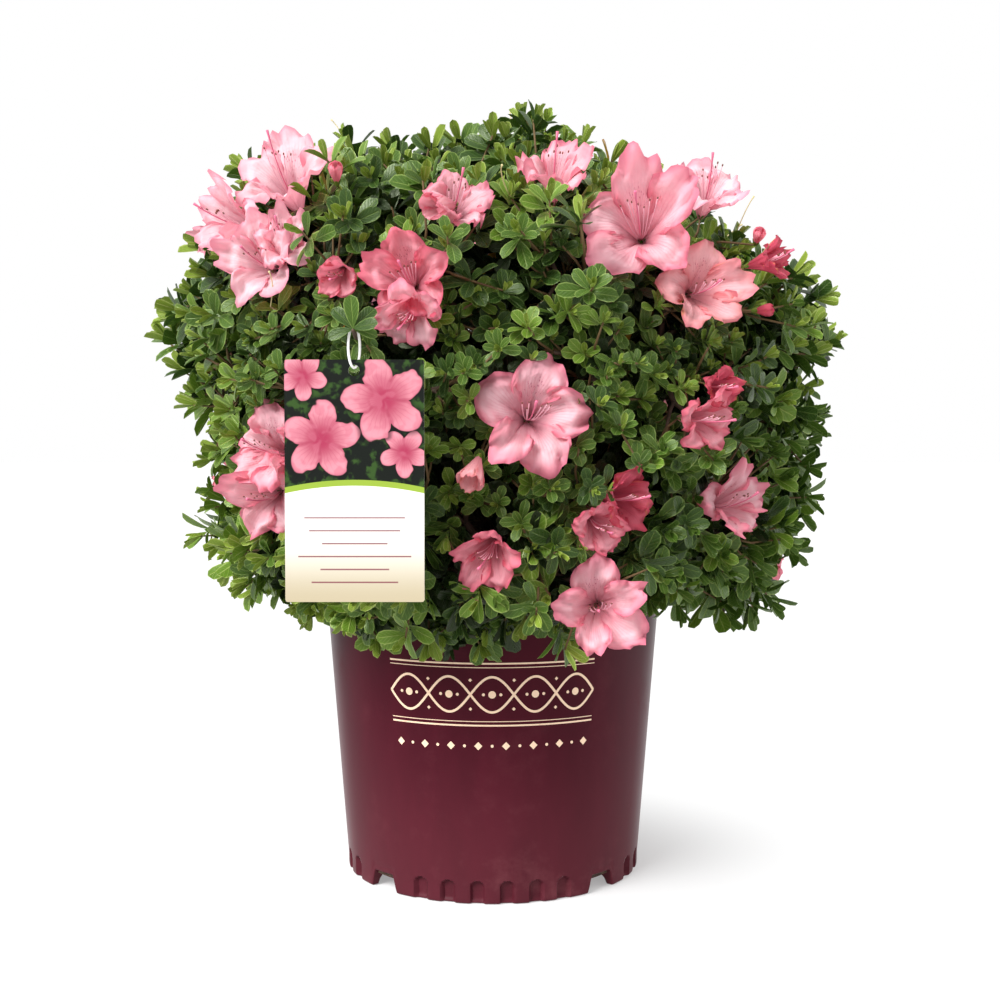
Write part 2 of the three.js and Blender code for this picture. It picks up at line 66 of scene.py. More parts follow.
def clamp(value, low, high):
    return max(low, min(high, value))


def rise(value, low, high):
    # 0 at low, 1 at high, smooth between
    share = clamp((value - low) / (high - low), 0, 1)
    return share * share * (3 - 2 * share)


def paint(red, green, blue):
    # a colour as a paint program gives it, made linear
    def linear(value):
        value /= 255
        return value / 12.92 if value <= 0.04045 else ((value + 0.055) / 1.055) ** 2.4
    return (linear(red), linear(green), linear(blue), 1)


def painted(table):
    return {key: paint(*value) for key, value in table.items()}


def dimmed(colour, share):
    return [channel * share for channel in colour[:3]] + [1]


def blended(below, above, share):
    return [lerp(*both, share) for both in zip(below, above)]


def shaken(draw):
    # a small random step
    return Vector((draw() - 0.5, draw() - 0.5, draw() - 0.5))


# Shaders
class Field:
    # a node's output: arithmetic on it adds Math nodes
    def __init__(self, finish, socket):
        self.finish = finish
        self.socket = socket

    def math(self, operation, *values):
        return self.finish.add('ShaderNodeMath', {'operation': operation}, values)

    def __add__(self, other):
        return self.math('ADD', self, other)

    def __sub__(self, other):
        return self.math('SUBTRACT', self, other)

    def __rsub__(self, other):
        return self.math('SUBTRACT', other, self)

    def __mul__(self, other):
        return self.math('MULTIPLY', self, other)

    def __truediv__(self, other):
        return self.math('DIVIDE', self, other)

    def __pow__(self, other):
        return self.math('POWER', self, other)

    def __mod__(self, other):
        return self.math('FLOORED_MODULO', self, other)

    def __abs__(self):
        return self.math('ABSOLUTE', self)

    __radd__ = __add__
    __rmul__ = __mul__

    def sin(self):
        return self.math('SINE', self)

    def floor(self):
        return self.math('FLOOR', self)

    def most(self, other):
        return self.math('MAXIMUM', self, other)

    def rise(self, low, high):
        # 0 below low, 1 above high, smooth between; falls where low is above high
        start, end = (0, 1) if low < high else (1, 0)
        low, high = min(low, high), max(low, high)
        return self.finish.add('ShaderNodeMapRange', {'interpolation_type': 'SMOOTHSTEP'},
                               (self, low, high, start, end))


class Finish:
    def __init__(self, name, **constants):
        self.material = bpy.data.materials.new(name)
        self.material.use_nodes = True
        self.tree = self.material.node_tree
        self.surface = self.tree.nodes['Principled BSDF']
        for socket, value in constants.items():
            self.feed(socket.replace('_', ' '), value)

    def feed(self, name, value):
        if isinstance(value, Field):
            self.tree.links.new(value.socket, self.surface.inputs[name])
        else:
            self.surface.inputs[name].default_value = value

    def add(self, kind, settings=None, inputs=(), output=0):
        node = self.tree.nodes.new(kind)
        for key, value in (settings or {}).items():
            setattr(node, key, value)
        for key, value in inputs.items() if isinstance(inputs, dict) else enumerate(inputs):
            if isinstance(value, Field):
                self.tree.links.new(value.socket, node.inputs[key])
            else:
                node.inputs[key].default_value = value
        return Field(self, node.outputs[output])

    def axes(self, vector):
        return [self.add('ShaderNodeSeparateXYZ', None, (vector,), i) for i in range(3)]

    def vector(self, x, y, z=0.0):
        return self.add('ShaderNodeCombineXYZ', None, (x, y, z))

    def place(self):
        return self.add('ShaderNodeTexCoord', None, (), 'Object')

    def uv(self):
        return self.add('ShaderNodeUVMap', {'uv_map': 'OFBake'})

    def mix(self, factor, below, above):
        return self.add('ShaderNodeMix', {'data_type': 'RGBA'}, {0: factor, 6: below, 7: above}, 2)

    def layered(self, colour, *layers):
        # paints one over the other, each with its share
        for share, above in layers:
            colour = self.mix(share, colour, above)
        return colour

    def stir(self, vector, scale, detail=3.0, roughness=0.5):
        return self.add('ShaderNodeTexNoise', None,
                        {'Vector': vector, 'Scale': scale, 'Detail': detail, 'Roughness': roughness})

    def cells(self, vector, scale, feature='F1'):
        return self.add('ShaderNodeTexVoronoi', {'feature': feature}, {'Vector': vector, 'Scale': scale})

    def bump(self, height, strength, distance):
        self.feed('Normal', self.add('ShaderNodeBump', None,
                                     {'Height': height, 'Strength': strength, 'Distance': distance}))

    def glow(self, colour, share):
        # light that comes through a thin leaf or petal
        through = self.add('ShaderNodeBsdfTranslucent', None, {'Color': colour})
        both = self.add('ShaderNodeMixShader', None, {0: share, 1: Field(self, self.surface.outputs[0]), 2: through})
        self.tree.links.new(both.socket, self.tree.nodes['Material Output'].inputs['Surface'])


# Meshes: a part is the coordinates, faces and UVs of one shape or of many copies of it
def partOf(bm, uvAt):
    # uvAt gives the UV of a corner from its place
    bm.verts.ensure_lookup_table()
    bm.verts.index_update()
    places = np.array([vert.co[:] for vert in bm.verts])
    corners = np.array([loop.vert.index for face in bm.faces for loop in face.loops])
    sizes = np.array([len(face.verts) for face in bm.faces])
    uvs = np.array([uvAt(face, loop) for face in bm.faces for loop in face.loops])
    bm.free()
    return {'places': places, 'corners': corners, 'sizes': sizes, 'uvs': uvs}


def copies(part, places):
    # places: the coordinates of each copy
    count = len(places)
    shift = np.arange(count)[:, None] * len(part['places'])
    return {
        'places': places.reshape(-1, 3),
        'corners': (part['corners'][None, :] + shift).ravel(),
        'sizes': np.tile(part['sizes'], count),
        'uvs': np.tile(part['uvs'], (count, 1)),
    }


def makePiece(name, parts, material, replaced):
    mesh = bpy.data.meshes.new(name)
    shifts = np.cumsum([0] + [len(part['places']) for part in parts[:-1]])
    places = np.concatenate([part['places'] for part in parts])
    corners = np.concatenate([part['corners'] + shift for part, shift in zip(parts, shifts)])
    sizes = np.concatenate([part['sizes'] for part in parts])
    mesh.vertices.add(len(places))
    mesh.vertices.foreach_set('co', places.astype(np.float32).ravel())
    mesh.loops.add(len(corners))
    mesh.loops.foreach_set('vertex_index', corners.astype(np.int32))
    mesh.polygons.add(len(sizes))
    mesh.polygons.foreach_set('loop_start', (np.cumsum(sizes) - sizes).astype(np.int32))
    mesh.polygons.foreach_set('use_smooth', np.ones(len(sizes), bool))
    layer = mesh.uv_layers.new(name='OFBake')
    layer.data.foreach_set('uv', np.concatenate([part['uvs'] for part in parts]).astype(np.float32).ravel())
    mesh.update(calc_edges=True)
    mesh.validate()
    finishPiece(name, mesh, [material], replaced)


def finishPiece(name, mesh, materials, replaced):
    for material in materials:
        mesh.materials.append(material.material)
    piece = bpy.data.objects.new(name, mesh)
    bpy.context.scene.collection.objects.link(piece)
    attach(piece, 'root')
    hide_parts(*replaced)


def modelPiece(name, bm, materials, replaced, smoothBelow=None):
    # a piece from a bmesh, smooth where its faces meet at less than an angle
    bmesh.ops.recalc_face_normals(bm, faces=bm.faces)
    for face in bm.faces:
        face.smooth = smoothBelow is not None
    if smoothBelow is not None:
        for edge in bm.edges:
            edge.smooth = not edge.is_manifold or edge.calc_face_angle() < smoothBelow
    mesh = bpy.data.meshes.new(name)
    bm.to_mesh(mesh)
    bm.free()
    finishPiece(name, mesh, materials, replaced)


def gridPart(across, along, shape, uvBox=(0, 0, 1, 1)):
    # a blade: shape gives its points from s, -1 to 1 across it, and t, 0 to 1 along it
    bm = bmesh.new()
    bmesh.ops.create_grid(bm, x_segments=across, y_segments=along, size=1)
    left, low, right, high = uvBox

    def uvAt(face, loop):
        x, y = loop.vert.co.x, loop.vert.co.y
        return lerp(left, right, (x + 1) / 2), lerp(low, high, (y + 1) / 2)
    part = partOf(bm, uvAt)
    part['places'] = shape(part['places'][:, 0], (part['places'][:, 1] + 1) / 2)
    return part


def tubePart(sides, rings):
    bm = bmesh.new()
    bmesh.ops.create_cone(bm, cap_ends=True, segments=sides, radius1=1, radius2=1, depth=1,
                          matrix=Matrix.Translation((0, 0, 0.5)))
    if rings > 2:
        upright = [edge for edge in bm.edges if abs(edge.verts[0].co.z - edge.verts[1].co.z) > 0.5]
        bmesh.ops.subdivide_edges(bm, edges=upright, cuts=rings - 2)

    def uvAt(face, loop):
        turn = math.atan2(loop.vert.co.y, loop.vert.co.x) / math.tau % 1
        middle = face.calc_center_median()
        middleTurn = math.atan2(middle.y, middle.x) / math.tau % 1
        if abs(face.normal.z) < 0.5 and turn - middleTurn < -0.5:
            turn += 1
        return turn, loop.vert.co.z
    bm.normal_update()
    return partOf(bm, uvAt)


def sweep(points, radii, sides):
    # tubes through rows of points, one tube a row
    points = np.array(points, float)
    radii = np.array(radii, float)
    rings = points.shape[1]
    part = tubePart(sides, rings)
    ring = np.rint(part['places'][:, 2] * (rings - 1)).astype(int)
    along = np.gradient(points, axis=1)
    along /= np.linalg.norm(along, axis=2, keepdims=True)
    whole = points[:, -1] - points[:, 0]
    aside = np.where(np.abs(whole[:, 2:3]) > np.abs(whole[:, :1]), [[1.0, 0.3, 0]], [[0, 0.3, 1.0]])
    aside = np.broadcast_to(aside[:, None, :], along.shape)
    first = np.cross(along, aside)
    first /= np.linalg.norm(first, axis=2, keepdims=True)
    second = np.cross(along, first)
    wide = radii[:, ring, None]
    places = points[:, ring] + wide * (
        first[:, ring] * part['places'][None, :, 0:1] + second[:, ring] * part['places'][None, :, 1:2])
    return copies(part, places)


# Camera, light, floor
studio = {
    'cameraPlace': (0.0056, -1.100, 0.330), 'cameraAim': (0.0056, 0, 0.289), 'lens': 49.5, 'sensor': 36,
    'farthest': 100,
    'keyPlace': (-2.0, -2.1, 2.8), 'keyAim': (0, 0, 0.3), 'keySoftness': 34, 'keyPower': 5.4,
    'fillPlace': (1.5, 0.1, 0.22), 'fillAim': (0, 0, 0.2), 'fillSize': 1.0, 'fillPower': 8, 'sky': 1.0,
    'floorSize': 60, 'floorDrop': 0.0004, 'floorRoughness': 0.9, 'floorGloss': 0.1,
    # how light the floor is of itself, a painted glow that grows away from the pot and washes out its shadow there,
    # and how much it takes shadow, at the pot and further off
    'floorPaintedGlow': (0.34, 0.98), 'floorPaper': (0.50, 0.04), 'floorFade': (0.11, 0.29),
}


def pointAt(thing, place, aim):
    thing.location = place
    thing.rotation_euler = (Vector(aim) - Vector(place)).to_track_quat('-Z', 'Y').to_euler()
    bpy.context.scene.collection.objects.link(thing)


def addLamp(name, kind):
    lamp = bpy.data.lights.new(name, kind)
    lamp.energy = studio[name + 'Power']
    pointAt(bpy.data.objects.new(name, lamp), studio[name + 'Place'], studio[name + 'Aim'])
    return lamp


def setCamera():
    lens = bpy.data.cameras.new('camera')
    lens.lens = studio['lens']
    lens.sensor_width = studio['sensor']
    lens.clip_end = studio['farthest']
    camera = bpy.data.objects.new('camera', lens)
    pointAt(camera, studio['cameraPlace'], studio['cameraAim'])
    bpy.context.scene.camera = camera


def setLight():
    # the key is even light from far off, so that the floor stays white up to the horizon
    addLamp('key', 'SUN').angle = math.radians(studio['keySoftness'])
    addLamp('fill', 'AREA').size = studio['fillSize']
    world = bpy.data.worlds.new('studio')
    bpy.context.scene.world = world
    world.use_nodes = True
    background = world.node_tree.nodes['Background']
    background.inputs['Color'].default_value = (1, 1, 1, 1)
    background.inputs['Strength'].default_value = studio['sky']
    bpy.context.scene.view_settings.view_transform = 'Standard'


def setFloor():
    bm = bmesh.new()
    bmesh.ops.create_grid(bm, x_segments=1, y_segments=1, size=studio['floorSize'] / 2)
    bmesh.ops.translate(bm, verts=bm.verts, vec=(0, 0, -studio['floorDrop']))
    mesh = bpy.data.meshes.new('floor')
    bm.to_mesh(mesh)
    bm.free()
    floor = bpy.data.objects.new('floor', mesh)
    bpy.context.scene.collection.objects.link(floor)
    paper = Finish('floorPaper', Roughness=studio['floorRoughness'], Specular_IOR_Level=studio['floorGloss'],
                   Emission_Strength=1)
    x, y, z = paper.axes(paper.place())
    # painted light: the floor glows of itself, less at the pot and more further off, so its shadow fades away from
    # the pot
    away = ((x * x + y * y) ** 0.5).rise(*studio['floorFade'])
    for socket, key in (('Base Color', 'floorPaper'), ('Emission Color', 'floorPaintedGlow')):
        near, far = ((value, value, value, 1) for value in studio[key])
        paper.feed(socket, paper.mix(away, near, far))
    mesh.materials.append(paper.material)


setCamera()
setLight()
setFloor()
print('studio set')


# The crown's shape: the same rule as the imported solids
pot = {
    'height': 0.230, 'footRadius': 0.115, 'rimRadius': 0.1315, 'lipRadius': 0.1375, 'lipDepth': 0.023,
    'lipRound': 0.002, 'lipThickness': 0.0035, 'wall': 0.0025, 'padRadius': 0.062, 'floorLift': 0.007,
    'floorSlope': 0.003, 'footWidth': 0.005, 'notches': 4, 'notchWidth': 0.024, 'notchHeight': 0.013,
}
mixTop = 0.205
trunk = {
    'foot': (0.005, 0.002), 'head': (0.010, -0.004), 'top': 0.266, 'radius': 0.0125, 'topRadius': 0.009,
    'flare': 0.007, 'flareHeight': 0.009,
}
crown = {
    'x': 0.008, 'middle': 0.400, 'top': 0.578, 'skirt': 0.184, 'radius': 0.264, 'upperPower': 2.3,
    'lowerPower': 6, 'waist': 0.016, 'waistHeight': 0.285, 'waistSpread': 0.062, 'innerRadius': 0.152,
    'lump': 0.009,
}
massRings = [
    {'name': 'skirt', 'radius': 0.190, 'height': 0.260, 'first': -90,
     'reach': (0.99, 0.96, 0.97, 1, 0.98, 0.97, 0.98)},
    {'name': 'side', 'radius': 0.192, 'height': 0.404, 'first': -64, 'reach': (1, 1.02, 1, 0.99, 1, 1.02, 1)},
    {'name': 'shoulder', 'radius': 0.138, 'height': 0.500, 'first': -54, 'reach': (0.98, 0.96, 0.99, 1.05, 1.06)},
    {'name': 'top', 'radius': 0, 'height': 0.512, 'first': 0, 'reach': (1,)},
]
bough = {'radius': 0.0052, 'tipRadius': 0.0034, 'entry': 0.6}  # entry: how far it reaches into its mass
boughStart = {
    'side': {'lowest': 0.45, 'spread': 0.45, 'sag': 0.012},
    'shoulder': {'lowest': 0.12, 'spread': 0.48, 'sag': 0.008},
    'skirt': {'lowest': 0.3, 'spread': 0, 'sag': -0.006},
    'top': {'lowest': 0.94, 'spread': 0, 'sag': 0},
}
crownMiddle = Vector((crown['x'], 0, crown['middle']))


def around(radius, azimuth, z):
    turn = math.radians(azimuth)
    return Vector((crown['x'] + radius * math.cos(turn), radius * math.sin(turn), z))


masses = []
for ring in massRings:
    for i, reach in enumerate(ring['reach']):
        azimuth = ring['first'] + 360 / len(ring['reach']) * i
        masses.append({'ring': ring, 'reach': reach, 'middle': around(ring['radius'], azimuth, ring['height'])})


def nearestMass(point):
    return min(masses, key=lambda mass: (mass['middle'] - point).length_squared)


def crownRadius(z):
    above = z > crown['middle']
    span = crown['top'] - crown['middle'] if above else crown['middle'] - crown['skirt']
    share = abs(z - crown['middle']) / span
    power = crown['upperPower'] if above else crown['lowerPower']
    full = crown['radius'] * max(0, 1 - share ** power) ** (1 / power)
    return full - crown['waist'] * math.exp(-((z - crown['waistHeight']) / crown['waistSpread']) ** 2)


def outwardAt(point):
    return (point - crownMiddle).normalized()


def crownPoint(azimuth, z):
    point = around(crownRadius(z), azimuth, z)
    mass = nearestMass(point)
    bulge = crown['lump'] * (1 - ((mass['middle'] - point).length / mass['ring']['height']) ** 2)
    point += outwardAt(point) * bulge
    return Vector((crown['x'] + (point.x - crown['x']) * mass['reach'], point.y * mass['reach'], point.z))


def crownPoints(count):
    # spread evenly over the crown's surface, in a spiral from its top down
    stations = []
    area = 0
    for step in range(361):
        height = math.cos(math.radians(step / 2))
        span = crown['top'] - crown['middle'] if height > 0 else crown['middle'] - crown['skirt']
        z = crown['middle'] + height * span
        radius = max(0, crownRadius(z))
        if step > 180 and radius < crown['innerRadius']:
            break
        lastZ, lastRadius = stations[-1][1:] if stations else (z, radius)
        area += math.hypot(radius - lastRadius, z - lastZ) * (radius + lastRadius)
        stations.append((area, z, radius))
    areas = [station[0] for station in stations]
    wanted = [area * (i + 0.5) / count for i in range(count)]
    heights = np.interp(wanted, areas, [station[1] for station in stations])
    return [crownPoint(math.degrees(goldenAngle) * i, z) for i, z in enumerate(heights)]


# Flowers: azimuth, height and width in millimetres, turn sideways and upwards, tint, how open
frontFlowers = [
    (-132, 522, 76, 28, 15, 'pale', 1.0),
    (-138, 484, 58, -2, -1, 'pale', 0.9),
    (-128, 452, 60, 22, -4, 'pale', 1.0),
    (-113, 432, 40, 15, -27, 'coral', 0.5),
    (-103, 436, 61, 7, 0, 'coral', 1.0),
    (-103, 404, 50, 1, -35, 'pink', 0.9),
    (-96, 490, 54, 24, 19, 'pink', 0.8),
    (-81, 518, 56, -5, 29, 'pink', 0.9),
    (-71, 474, 82, -27, -1, 'pink', 1.0),
    (-51, 512, 58, -33, 17, 'pale', 0.95),
    (-61, 430, 64, -15, -5, 'aged', 0.95),
    (-86, 352, 76, 0, 9, 'pink', 1.0),
    (-58, 348, 50, 12, 2, 'coral', 0.85),
    (-48, 298, 58, -10, 24, 'pink', 0.95),
    (-70, 300, 52, 16, 12, 'deep', 0.75),
    (-76, 232, 66, -16, 24, 'pink', 1.0),
    (-93, 262, 54, -11, -3, 'coral', 0.8),
    (-130, 332, 62, 14, 15, 'pink', 1.0),
    (-131, 298, 58, 25, 8, 'pink', 1.0),
]
backFlowers = {
    'count': 17, 'seed': 41, 'first': 13, 'sweep': 160, 'height': (235, 532), 'width': (50, 72),
    'turn': 40, 'lift': (-5, 25), 'tints': ('pink', 'pale', 'coral', 'pink', 'aged'), 'open': (0.85, 1.0),
}
# small, half-open and withered ones, and buds
smallFlowers = [
    (-75, 279, 44, 4, -1, 'coral', 0.75),
    (-95, 308, 34, -15, -31, 'aged', 0.25),
    (-44, 456, 40, 9, 0, 'deep', 0.65),
    (-101, 476, 36, -29, -22, 'pink', 0.2),
    (-57, 368, 36, -3, -5, 'deep', 0.65),
    (-124, 470, 46, 30, 18, 'pale', 0.9),
    (-117, 514, 20, 27, 31, 'coral', 0),
    (-46, 478, 18, -35, 24, 'coral', 0),
    (-48, 420, 18, 18, -3, 'deep', 0),
    (150, 470, 20, 0, 20, 'deep', 0),
    (40, 520, 20, 0, 40, 'deep', 0),
    (95, 300, 36, 0, 0, 'coral', 0.5),
    (60, 400, 20, 0, 10, 'deep', 0),
    (18, 350, 36, 0, 0, 'deep', 0.6),
    (170, 300, 34, 0, 10, 'coral', 0.4),
]
flowerForm = {
    'depth': 0.56, 'stand': 0.012, 'steepness': 0.7, 'lift': (-0.9, 1.35), 'flare': 1.6,
    # the funnel in flower widths: its foot, how its tube widens, how far its rim spreads and how late
    'foot': 0.026, 'footRound': 16, 'tube': 0.17, 'spread': 0.33, 'spreadPower': (1.4, 2.0),
    'seed': 90, 'roll': 0.5,
}


def funnelRadius(t, openness):
    # in flower widths, from t = 0 at the foot to 1 at the rim
    tube = flowerForm['foot'] * (1 - (1 - t) ** flowerForm['footRound']) + flowerForm['tube'] * t
    return tube + flowerForm['spread'] * openness * t ** lerp(*flowerForm['spreadPower'], openness)


def placeFlower(azimuth, height, width, sideways, upwards, tint, openness):
    rim = crownPoint(azimuth, height / 1000)
    steep = math.asin(outwardAt(rim).z)
    lift = clamp(steep * flowerForm['steepness'] + math.radians(upwards), *flowerForm['lift'])
    turn = math.radians(azimuth + sideways)
    facing = Vector((math.cos(turn) * math.cos(lift), math.sin(turn) * math.cos(lift), math.sin(lift)))
    width /= 1000
    depth = flowerForm['depth'] * width
    base = rim - facing * (flowerForm['stand'] + depth)
    return {'base': base, 'facing': facing, 'width': width, 'depth': depth, 'mass': nearestMass(base),
            'tint': tint, 'open': openness}


def backRow():
    draw = seededRandom(backFlowers['seed'])
    rows = []
    for i in range(backFlowers['count']):
        azimuth = backFlowers['first'] + backFlowers['sweep'] * (i + 0.5) / backFlowers['count']
        height = lerp(*backFlowers['height'], i * goldenShare % 1)
        width = lerp(*backFlowers['width'], draw())
        sideways = backFlowers['turn'] * (draw() - 0.5)
        upwards = lerp(*backFlowers['lift'], draw())
        tint = backFlowers['tints'][i % len(backFlowers['tints'])]
        rows.append((azimuth, height, width, sideways, upwards, tint, backFlowers['open'][i % 2]))
    return rows


flowers = [placeFlower(*row) for row in frontFlowers + backRow() + smallFlowers]


# Tag and loop sizes
tag = {
    'x': -0.082, 'y': -0.272, 'bottom': 0.2375, 'width': 0.084, 'height': 0.146, 'thickness': 0.0008,
    'hole': 0.0034, 'holeDrop': 0.0065, 'corner': 0.0015,
}
loop = {'width': 0.010, 'height': 0.025, 'wire': 0.0008, 'turn': 52, 'hang': 0.0016}
hook = {
    'radius': 0.0011, 'footRadius': 0.0024, 'past': 0.007, 'drop': 0.0013, 'inside': 0.045, 'rise': 0.005,
    'overlap': 0.001,
    # its leaves: which way they face and how nearly, and where they grow
    'leafFront': (0, -1, 0.4), 'leafFlat': 0.9, 'leafRoot': (0, 0.002, 0.0012),
}
tagTop = tag['bottom'] + tag['height']
loopMiddle = Vector((tag['x'], tag['y'], tagTop - tag['holeDrop'] + loop['hang'] + loop['height'] / 2))
hookTip = Vector((tag['x'], tag['y'] - hook['past'],
                  loopMiddle.z + loop['height'] / 2 - loop['wire'] - hook['drop'] - hook['radius']))


# Limbs: routes of trunk and boughs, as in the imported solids
class Bend:
    # a quadratic curve
    def __init__(self, start, middle, end):
        self.points = (Vector(start), Vector(middle), Vector(end))

    def at(self, t):
        start, middle, end = self.points
        return start * (1 - t) ** 2 + middle * (2 * t * (1 - t)) + end * t ** 2

    def along(self, t):
        start, middle, end = self.points
        return ((middle - start) * (1 - t) + (end - middle) * t).normalized()


trunkBend = Bend((*trunk['foot'], mixTop), (*trunk['foot'], (mixTop + trunk['top']) / 2),
                 (*trunk['head'], trunk['top']))


def trunkRadius(share):
    height = share * (trunk['top'] - mixTop)
    flare = trunk['flare'] * math.exp(-height / trunk['flareHeight'])
    return lerp(trunk['radius'], trunk['topRadius'], share) + flare


def boughRadius(share):
    return lerp(bough['radius'], bough['tipRadius'], share)


def massesOf(name):
    return [mass for mass in masses if mass['ring']['name'] == name]


def routeBough(mass, carrier, i):
    rule = boughStart[mass['ring']['name']]
    start = carrier.at(rule['lowest'] + rule['spread'] * (i * goldenShare % 1))
    end = start.lerp(mass['middle'], bough['entry'])
    mass['bend'] = Bend(start, start.lerp(end, 0.5) - up * rule['sag'], end)


leader = massesOf('top')[0]
routeBough(leader, trunkBend, 0)
for i, mass in enumerate(massesOf('side')):
    routeBough(mass, trunkBend, i)
for i, mass in enumerate(massesOf('shoulder')):
    routeBough(mass, leader['bend'], i)
for i, mass in enumerate(massesOf('skirt')):
    routeBough(mass, massesOf('side')[i]['bend'], i)


# Shoots: tips of twigs in three layers, from the outline inwards
layers = [
    {'count': 2150, 'inset': 0.022, 'leaves': 11, 'jitter': 0.016, 'lump': 0.040, 'size': 1.0},
    {'count': 1600, 'inset': 0.044, 'leaves': 9, 'jitter': 0.022, 'lump': 0.034, 'size': 1.0},
    {'count': 1150, 'inset': 0.074, 'leaves': 7, 'jitter': 0.030, 'lump': 0.016, 'size': 1.25},
]
spray = {
    'seed': 7, 'heart': 0.3, 'fork': 0.36, 'most': 3, 'tipRadius': 0.00085, 'thicken': 0.31, 'upturn': 0.42,
    'lean': 1.05, 'lumpScale': 6, 'wander': 0.07,
    'longShare': 0.08, 'long': 0.020,  # some shoots stick out of the outline
    'keep': (1, 0.44),  # share of shoots kept where leaves are small, and where they're large
    'hemTop': 0.300, 'hem': (0.011, 0.024),  # how far the crown's lower edge is drawn up: in front, elsewhere
    # where the crown hangs over the pot's rim: its direction, where that part ends, how much thinner it is
    'front': (-0.12, -0.993), 'frontSharp': 7, 'frontEdge': 5.7, 'frontInset': 0.5,
    # azimuth, height, depth and spread of hollows in the outline
    'dents': ((180, 0.340, 0.034, 0.060), (180, 0.215, 0.014, 0.030), (180, 0.480, 0.018, 0.034),
              (0, 0.235, 0.019, 0.042), (0, 0.352, 0.014, 0.050), (0, 0.465, 0.046, 0.044)),
    'dentWidth': 0.7,
    'fall': 0.25, 'fallStart': 0.035, 'fallHeight': (0.45, 0.54), 'sink': 0.009,  # the top drops to the right
}
leafForm = {
    'length': (0.0145, 0.0272),  # small and large
    'tilt': (14, 74),  # degrees from the shoot, of the youngest leaf and the oldest
    'youngest': 0.46,  # length of the youngest leaf, as a share of the oldest
    'stemGap': 0.07,  # of the leaf's length
    'spread': (0.82, 1.2), 'lengths': (0.88, 1.12),  # how sprays differ, and leaves in a spray
    'tiltShake': 16, 'turnShake': 0.5, 'roll': 0.60,
    # a spray's leaves are long or oval where its size and a part by chance pass these
    'long': 1.1, 'longChance': 0.5, 'oval': 0.6, 'ovalChance': 0.6,
    'youngBelow': 0.28,  # age
    'yellowShare': 0.0025, 'nearFlower': 0.10,
}
# where leaves are small: in front, less so over the pot's rim, low on the right and towards the top
smallLeaves = {
    'front': 0.35, 'frontSpan': 0.45, 'rim': (0.285, 0.250), 'rimLess': 0.75,
    'right': (0.25, 0.50), 'rightBelow': (0.37, 0.32), 'rightLess': 0.80,
    'top': 0.38, 'topSpan': 0.12, 'topShare': 0.35,
}
# the tints that sprays are dealt: the outer layer's by place, then the two under it; lighter tints low on the left
# are painted light, and darker ones low on the right and in the two inner layers are painted shade
sprayTints = {
    'rest': ('bright', 'mid', 'deep', 'mid'), 'paintedLightLowLeft': ('bright', 'bright', 'mid', 'bright'),
    'paintedShadeLowRight': ('mid', 'deep', 'mid', 'deep', 'bright'), 'lowBelow': 0.36, 'lowAside': 0.3,
    'young': 'young', 'youngPaintedShadeLowRight': 'mid',
    'second': ('deep', 'shade', 'deep', 'shade', 'mid'), 'third': ('shade',),
}


def leafSize(outward, z):
    # 0 for the small dense leaves low in front, 1 for the long ones of top, sides and back
    small = smallLeaves
    front = clamp((-outward.y - small['front']) / small['frontSpan'], 0, 1)
    front *= 1 - small['rimLess'] * rise(z, *small['rim'])
    front *= 1 - small['rightLess'] * rise(outward.x, *small['right']) * rise(z, *small['rightBelow'])
    return 1 - front * lerp(1, small['topShare'], clamp((z - small['top']) / small['topSpan'], 0, 1))


def shootTips(layer, draw):
    tips = []
    for point in crownPoints(layer['count']):
        outward = outwardAt(point)
        size = leafSize(outward, point.z)
        lump = layer['lump'] * noise.noise(outward * spray['lumpScale'])
        lean = shaken(draw) * spray['lean']
        low = clamp((spray['hemTop'] - point.z) / (spray['hemTop'] - crown['skirt']), 0, 1)
        axis = (outward + up * spray['upturn'] * (1 - low) + lean).normalized()
        shake = shaken(draw) * layer['jitter']
        inset = layer['inset'] + lump
        if draw() < spray['longShare']:
            inset = layer['inset'] - spray['long'] * draw()
        flat = Vector((outward.x, outward.y, 0)).normalized()
        for azimuth, height, depth, spread in spray['dents']:
            turn = math.radians(azimuth)
            beside = (flat - Vector((math.cos(turn), math.sin(turn), 0))).length / spray['dentWidth']
            inset += depth * math.exp(-beside ** 2 - ((point.z - height) / spread) ** 2)
        ahead = flat.x * spray['front'][0] + flat.y * spray['front'][1]
        facing = clamp(ahead * spray['frontSharp'] - spray['frontEdge'], 0, 1)
        inset *= 1 - spray['frontInset'] * low * facing
        lift = low * lerp(*spray['hem'], 1 - facing)
        fall = spray['sink'] + spray['fall'] * max(0, point.x - spray['fallStart'])
        lift -= fall * rise(point.z, *spray['fallHeight'])
        if draw() < lerp(*spray['keep'], size):
            place = point - outward * inset + shake + up * lift
            tips.append({'place': place, 'axis': axis, 'layer': layer, 'size': size})
    return tips


def splitTips(tips):
    spreads = [max(tip['place'][i] for tip in tips) - min(tip['place'][i] for tip in tips) for i in range(3)]
    widest = spreads.index(max(spreads))
    ordered = sorted(tips, key=lambda tip: tip['place'][widest])
    half = math.ceil(len(ordered) / 2)
    return ordered[:half], ordered[half:]


def growTwigs(start, tips, addTwig):
    if len(tips) <= spray['most']:
        for tip in tips:
            addTwig(start, tip['place'], 1)
        return
    middle = sum((tip['place'] for tip in tips), Vector()) / len(tips)
    fork = start.lerp(middle, spray['fork'])
    addTwig(start, fork, len(tips))
    for half in splitTips(tips):
        growTwigs(fork, half, addTwig)


# What leaves keep out of
clear = {
    # a flower: from this share of its depth to this far ahead of its rim
    'foot': 0.12, 'ahead': 0.024,
    # in flower widths: this much wider than the funnel, but at most the rim of a closed one and more by openness
    'wider': 0.10, 'closedRim': 0.11, 'openRim': 0.37,
    'behind': 0.9, 'aside': 0.004,  # up to this share of its depth, this much further aside
    'tagEdge': 0.001, 'tagBack': 0.004, 'loopAside': 0.007, 'loopBack': 0.008, 'loopHeight': 0.015,
    'lipTop': 0.003, 'potSide': 0.002,
}


